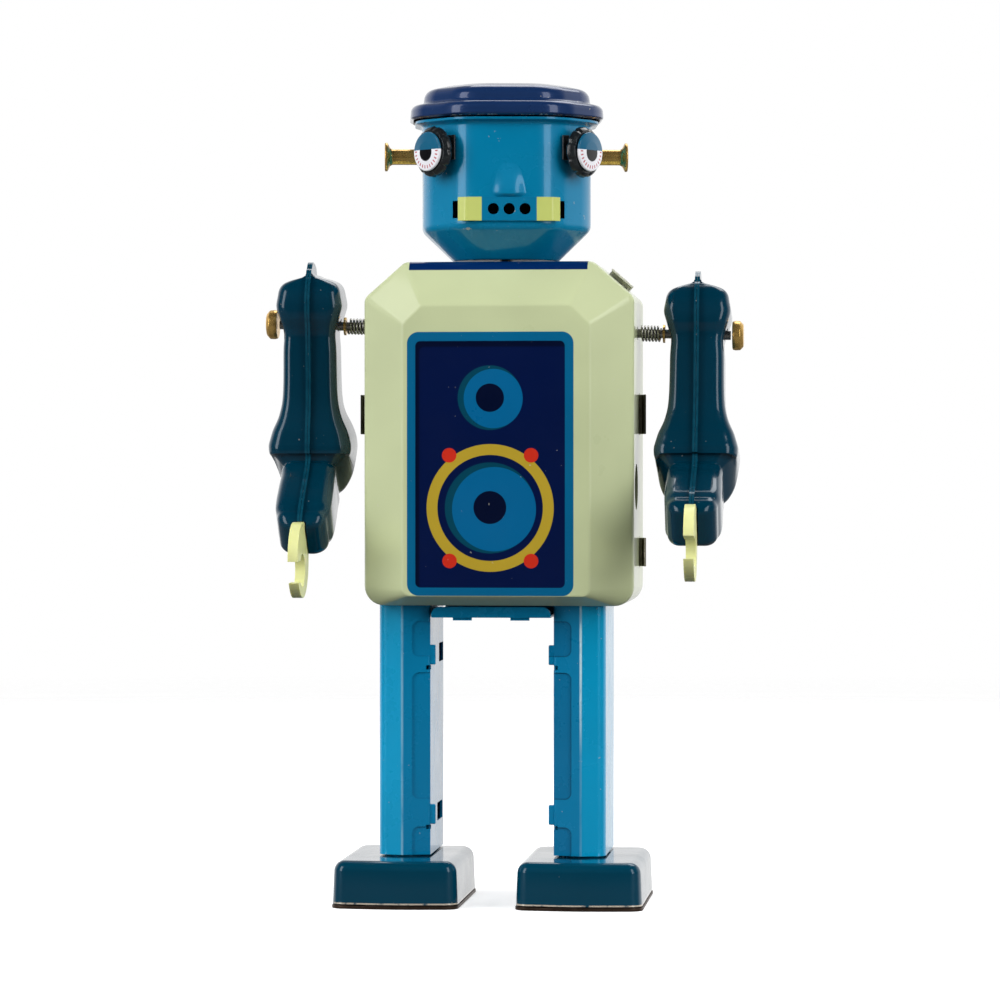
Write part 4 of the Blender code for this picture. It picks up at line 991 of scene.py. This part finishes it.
# Stations down an arm: centre (y, z) from the shoulder, half depth, half width, seam flange
# in front and behind.
ARM_STATIONS = (
    (0.3, 15.2, 1.2, 0.0, 0.3, 0.3),
    (0.2, 14.6, 2.6, 0.0, 0.4, 0.4),
    (0.1, 13.4, 3.8, 0.0, 0.5, 0.5),
    (0.0, 12.5, 4.4, 0.7, 0.9, 0.9),
    (0.0, 11.7, 4.9, 2.4, 1.2, 1.2),
    (0.0, 11.1, 5.4, 4.6, 1.3, 1.3),
    (0.0, 10.3, 6.1, 6.4, 1.2, 1.2),
    (0.0, 9.0, 6.9, 7.4, 1.0, 1.0),
    (0.0, 7.1, 7.6, 7.8, 1.0, 1.0),
    (0.0, 4.6, 7.9, 8.1, 1.0, 1.0),
    (0.0, 2.0, 7.7, 7.4, 1.0, 1.0),
    (0.0, -1.0, 6.9, 6.7, 1.0, 1.0),
    (0.0, -8.0, 6.5, 6.6, 1.0, 1.0),
    (0.0, -17.0, 6.7, 6.8, 1.0, 1.0),
    (0.0, -21.5, 7.4, 7.6, 1.0, 1.0),
    (0.2, -25.5, 8.8, 9.3, 1.0, 1.0),
    (0.4, -29.5, 9.6, 10.2, 1.0, 1.0),
    (0.0, -33.6, 9.2, 9.4, 1.0, 1.0),
    (-2.4, -37.2, 7.9, 7.2, 0.8, 0.8),
    (-5.4, -39.9, 7.0, 6.7, 0.6, 0.8),
    (-9.8, -43.1, 6.8, 6.8, 0.6, 0.8),
    (-14.4, -46.5, 6.6, 6.8, 0.6, 0.8),
    (-18.0, -49.2, 6.2, 6.2, 0.6, 0.8),
    (-20.4, -51.0, 5.0, 4.2, 0.6, 0.6),
    (-21.4, -51.8, 3.6, 0.0, 0.5, 0.5),
)
ARM_STEPS = 6
ARM_BORE_R = 1.55
# Creases as depth, station and spread: under the elbow and at the cuff, then below the bulb.
ARM_CREASES = ((0.7, 18.2, 0.32), (0.35, 21.8, 0.3))
ARM_NECK = (0.3, 11.2, 0.35)
CLAW_CENTRE = (-26.4, -55.8)
CLAW_MOUTH = (-27.4, -58.2)
CLAW_R = 9.1
CLAW_MOUTH_R = 4.0
CLAW_GAP = 2.6
CLAW_HALF = 1.2


def half_section(depth, width, front, back):
    """Outer and inner line of one arm half, from its front flange to its back flange."""
    step = SEAM + SHEET
    width = max(width, step)
    corner = min(depth, width) * 0.4
    steps = 6
    line = [(-depth - front, SEAM), (-depth - front, step), (-depth, step)]
    if width > step + corner:
        arc = corner_arc((-depth, step), (-depth, width), (depth, width), corner, steps)
        line += arc
        line += corner_arc((-depth, width), (depth, width), (depth, step), corner, steps)
    else:
        line += [(-depth + depth * k / (steps + 0.5), width) for k in range(steps + 1)]
        line += [(depth * (k + 0.5) / (steps + 0.5), width) for k in range(steps + 1)]
    line += [(depth, step), (depth + back, step), (depth + back, SEAM)]
    return line


def crease_depth(station, depth, centre, spread):
    return depth * math.exp(-(((station - centre) / spread) ** 2))


def arm_half(side, which, x_sign, arm_x, pivot_z):
    """One pressed half, with the crease under the elbow and the fold of the cuff."""
    rows = smooth_rows(ARM_STATIONS, ARM_STEPS)
    rings = []
    count = len(rows)
    for i, (y, z, depth, width, front, back) in enumerate(rows):
        station = i / ARM_STEPS
        before = rows[max(i - 1, 0)]
        after = rows[min(i + 1, count - 1)]
        along = Vector((after[0] - before[0], after[1] - before[1])).normalized()
        across = Vector((-along.y, along.x))
        if across.x < 0:
            across = -across
        elbow, cuff = (crease_depth(station, *row) for row in ARM_CREASES)
        crease = elbow + cuff
        neck = crease_depth(station, *ARM_NECK)
        width = max(width - crease - neck, 0.0)
        depth = max(depth - crease - neck, 0.4)
        ring = []
        for offset, x in half_section(depth, width, front + crease + neck, back + crease + neck):
            place = Vector((y, z)) + across * offset
            ring.append((arm_x + x_sign * x, place.x, pivot_z + place.y))
        rings.append(ring)
    bm = loft_mesh(rings)
    slot = moved(claw_blank(CLAW_HALF + 0.3, 0.4), Matrix.Translation((arm_x, 0, pivot_z)))
    bore = rod_mesh("X", (arm_x, 0, pivot_z), -12, 12, ARM_BORE_R)
    pivot = Matrix.Translation((arm_x, 0, pivot_z))
    place = pivot @ Matrix.Rotation(math.radians(-ARM_SWING[side]), 4, "X") @ pivot.inverted()
    node = f"arm_{side}_{which}"
    piece(node + "_tin", bm, "arm_" + side, ARM_TEAL, [node], cuts=[slot, bore], place=place)


def claw_blank(half, extra):
    """The disc and tongue of a claw about the shoulder, or the slot that they need."""
    a = Vector((-25.8, -54.4))
    b = Vector((-16.6, -47.3))
    along = (b - a).normalized()
    across = Vector((-along.y, along.x)) * (2.4 + extra)
    b = b + along * extra
    outline = [tuple(a - across), tuple(b - across), tuple(b + across), tuple(a + across)]
    disc = raw_object("disc", rod_mesh("X", (0, *CLAW_CENTRE), -half, half, CLAW_R + extra, 72))
    tongue = loft_mesh([in_yz(outline, -half + 0.01), in_yz(outline, half - 0.01)])
    boolean(disc, tongue, "UNION")
    bm = bmesh.new()
    bm.from_mesh(disc.data)
    bpy.data.objects.remove(disc)
    return bm


def claw(side, s):
    x = ARM_X * s
    pivot_z = shaft_z(x)
    y, z = CLAW_MOUTH
    cuts = [rod_mesh("X", (0, y, z), -4, 4, CLAW_MOUTH_R, 48)]
    cuts.append(box_mesh((-4, y - 14, z - CLAW_GAP), (4, y, z + CLAW_GAP)))
    pivot = Matrix.Translation((x, 0, pivot_z))
    place = pivot @ Matrix.Rotation(math.radians(-ARM_SWING[side]), 4, "X")
    nodes = ["claw_" + side]
    blank = claw_blank(CLAW_HALF, 0)
    piece(f"claw_{side}_moulding", blank, "arm_" + side, CLAW, nodes, cuts=cuts,
          bevel=0.45, place=place)


def arm(side, s):
    x = ARM_X * s
    for which, sign in (("outer", s), ("inner", -s)):
        arm_half(side, which, sign, x, shaft_z(x))
    claw(side, s)


# ---- hips, legs and feet


def hip_plate():
    """A tray under the body between the legs, with a front lip and two bent lugs."""
    half = LEG_X - LEG_HALF - 0.5
    low = 69.4
    top = BODY_LOW - 0.3
    corners = [(-half, low), (half, low), (half, top), (-half, top)]
    outline = [(HIP_X + x, z) for x, z in rounded(corners, [0.3, 0.3, 2.0, 2.0])]
    floor = box_mesh((HIP_X - half, -12.4, low), (HIP_X + half, 14.0, low + SHEET))
    adds = [loft_mesh([in_xz(outline, y), in_xz(outline, y + SHEET + 0.02)]) for y in (-13.0, 13.4)]
    for s in (-1, 1):
        x = HIP_X + s * 7
        adds.append(box_mesh((x - 2.3, -12.3, low - 0.7), (x + 2.3, -11.4, low + 0.1)))
    piece("hip_tray", floor, "torso", LEG_BLUE, ["hip_plate"], adds=adds, bevel=0.12)


def pointed_box(half, front, back, ridge, depth):
    """A rectangle whose front comes to a low ridge at one x."""
    return [(-half, front + depth), (ridge, front), (half, front + depth), (half, back), (-half, back)]


def leg_outline(s, distance):
    corners = pointed_box(LEG_HALF, LEG_FRONT, LEG_BACK, LEG_RIDGE, LEG_SLOPE)
    radii = [0.7, 0.6, 2.8, 1.4, 1.4]
    made = rounded(inset(corners, distance), [r - distance if r > distance else 0.1 for r in radii])
    return [(HIP_X + s * (LEG_X + x), y) for x, y in made]


def facet_recess(s, low, high):
    """A shallow pressed panel on the inner front facet of a leg."""
    width = PANEL_WIDTH
    slope = math.atan2(LEG_SLOPE, LEG_HALF + LEG_RIDGE)
    corners = [(-1.0, low), (width, low), (width, high), (-1.0, high)]
    outline = rounded(corners, [0.05, 1.6, 1.6, 0.05])
    bm = loft_mesh([in_xz(outline, -1.0), in_xz(outline, 0.3)])
    place = Matrix.Translation((-LEG_HALF, LEG_FRONT + LEG_SLOPE, 0)) @ Matrix.Rotation(-slope, 4, "Z")
    spread = Matrix.Translation((HIP_X + s * LEG_X, 0, 0)) @ Matrix.Scale(s, 4, (1, 0, 0))
    return moved(bm, spread @ place)


LEG_TABS = (60.3, 21.6)
LEG_SLOTS = ((57.8, 62.4, 10.6, 1.5), (18.8, 23.2, 14.5, 3.4))


def leg_shell(side, s):
    """The folded leg tube with its lever, pressed panels, tabs and slots."""
    rings = [in_xy(leg_outline(s, 0), z) for z in (LEG_LOW, LEG_TOP)]
    rings += [in_xy(leg_outline(s, SHEET), z) for z in (LEG_TOP, LEG_LOW)]
    rings.append(rings[0])
    tube = loft_mesh(rings, False, False)
    inner_x = HIP_X + s * (LEG_X - LEG_HALF)
    near = min(inner_x, inner_x + s * SHEET)
    lever = box_mesh((near, -5.6, LEG_TOP - 4), (near + SHEET, 5.6, 97.6))
    window = box_mesh((near - 1, -3.8, 88.2), (near + 2, 3.8, 95.8))
    pivot = (HIP_X + s * LEG_X, 0, LEG_PIVOT_Z)
    cuts = [facet_recess(s, low, high) for low, high in LEG_PANELS]
    cuts.append(rod_mesh("X", pivot, -9, 9, 1.5))
    for z_low, z_high, y_low, y_high in LEG_SLOTS:
        low = (near - 1, LEG_BACK - y_low, z_low)
        cuts.append(box_mesh(low, (near + SHEET + 1, LEG_BACK - y_high, z_high)))
    for z in LEG_TABS:
        low = (inner_x - 1.0, LEG_FRONT - 0.5, z - 3.6)
        cuts.append(box_mesh(low, (inner_x + 1.0, LEG_FRONT + 3.2, z - 2.55)))
    name = f"leg_{side}_shell"
    piece(name + "_tin", tube, "leg_" + side, LEG_BLUE, [name], cuts=cuts)
    piece(f"leg_{side}_lever", lever, "leg_" + side, LEG_BLUE, cuts=[window], bevel=0.1)
    for i, z in enumerate(LEG_TABS):
        x0 = inner_x + 0.3 * s
        x1 = inner_x - 1.25 * s
        low = (min(x0, x1), LEG_FRONT + 1.9, z - 2.4)
        tab = box_mesh(low, (max(x0, x1), LEG_FRONT + 3.9, z + 2.4))
        piece(f"leg_{side}_tab_{i}", tab, "leg_" + side, LEG_BLUE, bevel=0.3)


def foot_outline(s, distance):
    corners = pointed_box(FOOT_HALF, FOOT_FRONT, FOOT_BACK, 0, FOOT_SLOPE)
    radii = [3.4, 60.0, 3.4, 4.4, 4.4]
    centre = HIP_X + s * (LEG_X + FOOT_OUT)
    made = rounded(inset(corners, distance), [max(r - distance, 0.4) for r in radii], 10)
    return [(centre + x, y) for x, y in made]


def foot_shell(side, s):
    """A pressed foot with softly rounded top edges and a slightly flared lower edge."""
    path = [(-0.05, FOOT_LOW), (0.0, FOOT_LOW + 0.5), (0.4, FOOT_TOP), (5.0, FOOT_TOP)]
    rings = [in_xy(foot_outline(s, d), z) for d, z in fillet(path, [0, 0.2, 2.6, 0], 8)]
    shell = loft_mesh(rings, first=False)
    node = f"foot_{side}_shell"
    piece(node + "_tin", shell, "leg_" + side, FOOT_TEAL, [node], SHEET)


def sole_plate(side, s):
    rings = [in_xy(foot_outline(s, -0.2), 0.0), in_xy(foot_outline(s, -0.2), 0.8)]
    x = HIP_X + s * (LEG_X + FOOT_OUT)
    slot = box_mesh((x - 2.0, ROLLER_Y - 4.4, -1), (x + 2.0, ROLLER_Y + 4.4, 2))
    node = "sole_" + side
    plate = loft_mesh(rings)
    piece(node + "_steel", plate, "leg_" + side, SOLE, [node], cuts=[slot], bevel=0.12)


# ---- assembly


def finish_cad_nodes():
    """Gives the nodes that are carried over the finish of their record slot."""
    slots = {row["node"]: row["material_slot"] for row in frame["record"]["subparts"]}
    for name, node in frame["nodes"].items():
        node.data.materials.clear()
        node.data.materials.append(CAD_FINISH[slots[name]])


def build():
    finish_cad_nodes()
    front_shell()
    back_shell()
    head_shell()
    nose()
    hat()
    mouth_plate()
    hip_plate()
    for side, s in SIDES:
        eye_bezel(side, s)
        eye_disc(side, s)
        ear_tube(side, s)
        rivet_head(side, s)
        shoulder_spring(side, s)
        arm(side, s)
        leg_shell(side, s)
        foot_shell(side, s)
        sole_plate(side, s)


# ---- stage


# The floor is a disc in metres and fades over a span in millimetres.
FLOOR_SIDES = 24
FLOOR_REACH = 6.0
FLOOR_FADE = (350.0, 1100.0)


def floor():
    """A pale floor that fades out into the white surroundings."""
    bm = bmesh.new()
    turns = [2 * math.pi * k / FLOOR_SIDES for k in range(FLOOR_SIDES)]
    rim = [(FLOOR_REACH * math.cos(a), FLOOR_REACH * math.sin(a), 0) for a in turns]
    bm.faces.new([bm.verts.new(point) for point in rim])
    made = raw_object("floor", bm)
    f = Finish("floor_pale")
    tone = f.ramp(f.noise(400, 2), 0.3, 0.7, 0.9, 0.93)
    grey = f.node("ShaderNodeCombineColor", {0: tone, 1: tone, 2: tone}).outputs[0]
    f.surface("Base Color", grey)
    f.surface("Roughness", 0.6)
    f.shader.inputs["Specular IOR Level"].default_value = 0.1
    f.surface("Emission Color", (1, 1, 1))
    f.surface("Emission Strength", 0.45)
    x, y, _ = f.design()
    away = f.math("SQRT", f.math("ADD", f.times(x, x), f.times(y, y)))
    near = f.ramp(away, FLOOR_FADE[0], FLOOR_FADE[1], 1.0, 0.0)
    seen = f.node("ShaderNodeLightPath").outputs["Is Camera Ray"]
    f.surface("Alpha", f.times(near, f.math("MAXIMUM", seen, 0.08)))
    made.data.materials.append(f.material)


def softbox(name, azimuth, height, distance, width, tall, power, aim=0.1):
    """A rectangular area light that faces the robot."""
    light = bpy.data.lights.new(name, "AREA")
    light.shape = "RECTANGLE"
    light.size = width
    light.size_y = tall
    light.energy = power
    made = bpy.data.objects.new(name, light)
    a = math.radians(azimuth)
    made.location = (distance * math.sin(a), -distance * math.cos(a), height)
    to = Vector((0, 0, aim)) - made.location
    made.rotation_euler = to.to_track_quat("-Z", "Y").to_euler()
    bpy.context.scene.collection.objects.link(made)
    return made


# How the surroundings dim with direction: axis, from, to, brightness at each.
WORLD_SPANS = ((1, 0.0, 0.55, 0.03, 1.0), (2, 0.3, 0.75, 1.0, 0.25), (2, -0.3, -0.05, 0.06, 1.0))


def world():
    """White surroundings whose light is dim from in front, above and below; they look plain white."""
    made = bpy.data.worlds.new("studio")
    made.use_nodes = True
    g = Graph(made.node_tree)
    where = g.node("ShaderNodeTexCoord").outputs["Generated"]
    split = g.node("ShaderNodeSeparateXYZ", {0: where}).outputs
    dim = 1.0
    for axis, low, high, start, end in WORLD_SPANS:
        dim = g.times(dim, g.ramp(split[axis], low, high, start, end, "SMOOTHSTEP"))
    seen = g.node("ShaderNodeLightPath").outputs["Is Camera Ray"]
    shade = g.tree.nodes["Background"]
    g.put(shade.inputs["Strength"], g.math("MAXIMUM", seen, dim))
    g.put(shade.inputs["Color"], (1, 1, 1))
    bpy.context.scene.world = made


def camera():
    """A long lens a little to the robot's left, at the height of its chest."""
    azimuth = math.radians(5.6)
    distance = 1.0
    height = 0.1046
    aside = 0.00103
    drop = 0.00684
    data = bpy.data.cameras.new("camera")
    data.lens = 147.2
    data.sensor_width = 36
    data.clip_start = 0.01
    data.clip_end = 100
    made = bpy.data.objects.new("camera", data)
    axis = Vector((0, CENTRE_Y * MM, height))
    right = Vector((math.cos(azimuth), math.sin(azimuth), 0))
    made.location = axis + Vector((math.sin(azimuth), -math.cos(azimuth), 0)) * distance
    target = axis - right * aside - Vector((0, 0, drop))
    made.rotation_euler = (target - made.location).to_track_quat("-Z", "Y").to_euler()
    bpy.context.scene.collection.objects.link(made)
    bpy.context.scene.camera = made


# Softboxes: name, azimuth, height, distance, width, tall, power. The first show in the gloss.
SHINING_LIGHTS = (
    ("strip_left", -52, 0.42, 0.9, 0.34, 0.8, 2.8),
    ("strip_right", 49, 0.42, 0.9, 0.3, 0.8, 2.2),
    ("top_back", 165, 0.9, 0.55, 0.7, 0.5, 3.0),
)
UNSEEN_LIGHTS = (
    ("side_left", -72, 0.42, 0.85, 0.9, 0.8, 7.4),
    ("side_right", 72, 0.42, 0.85, 0.9, 0.8, 7.0),
    ("front_fill", -6, 0.75, 0.85, 1.2, 0.8, 4.0),
)


def stage():
    floor()
    world()
    camera()
    for row in SHINING_LIGHTS:
        softbox(*row)
    for row in UNSEEN_LIGHTS:
        softbox(*row).visible_glossy = False
    bpy.context.scene.view_settings.view_transform = "Standard"


build()
stage()
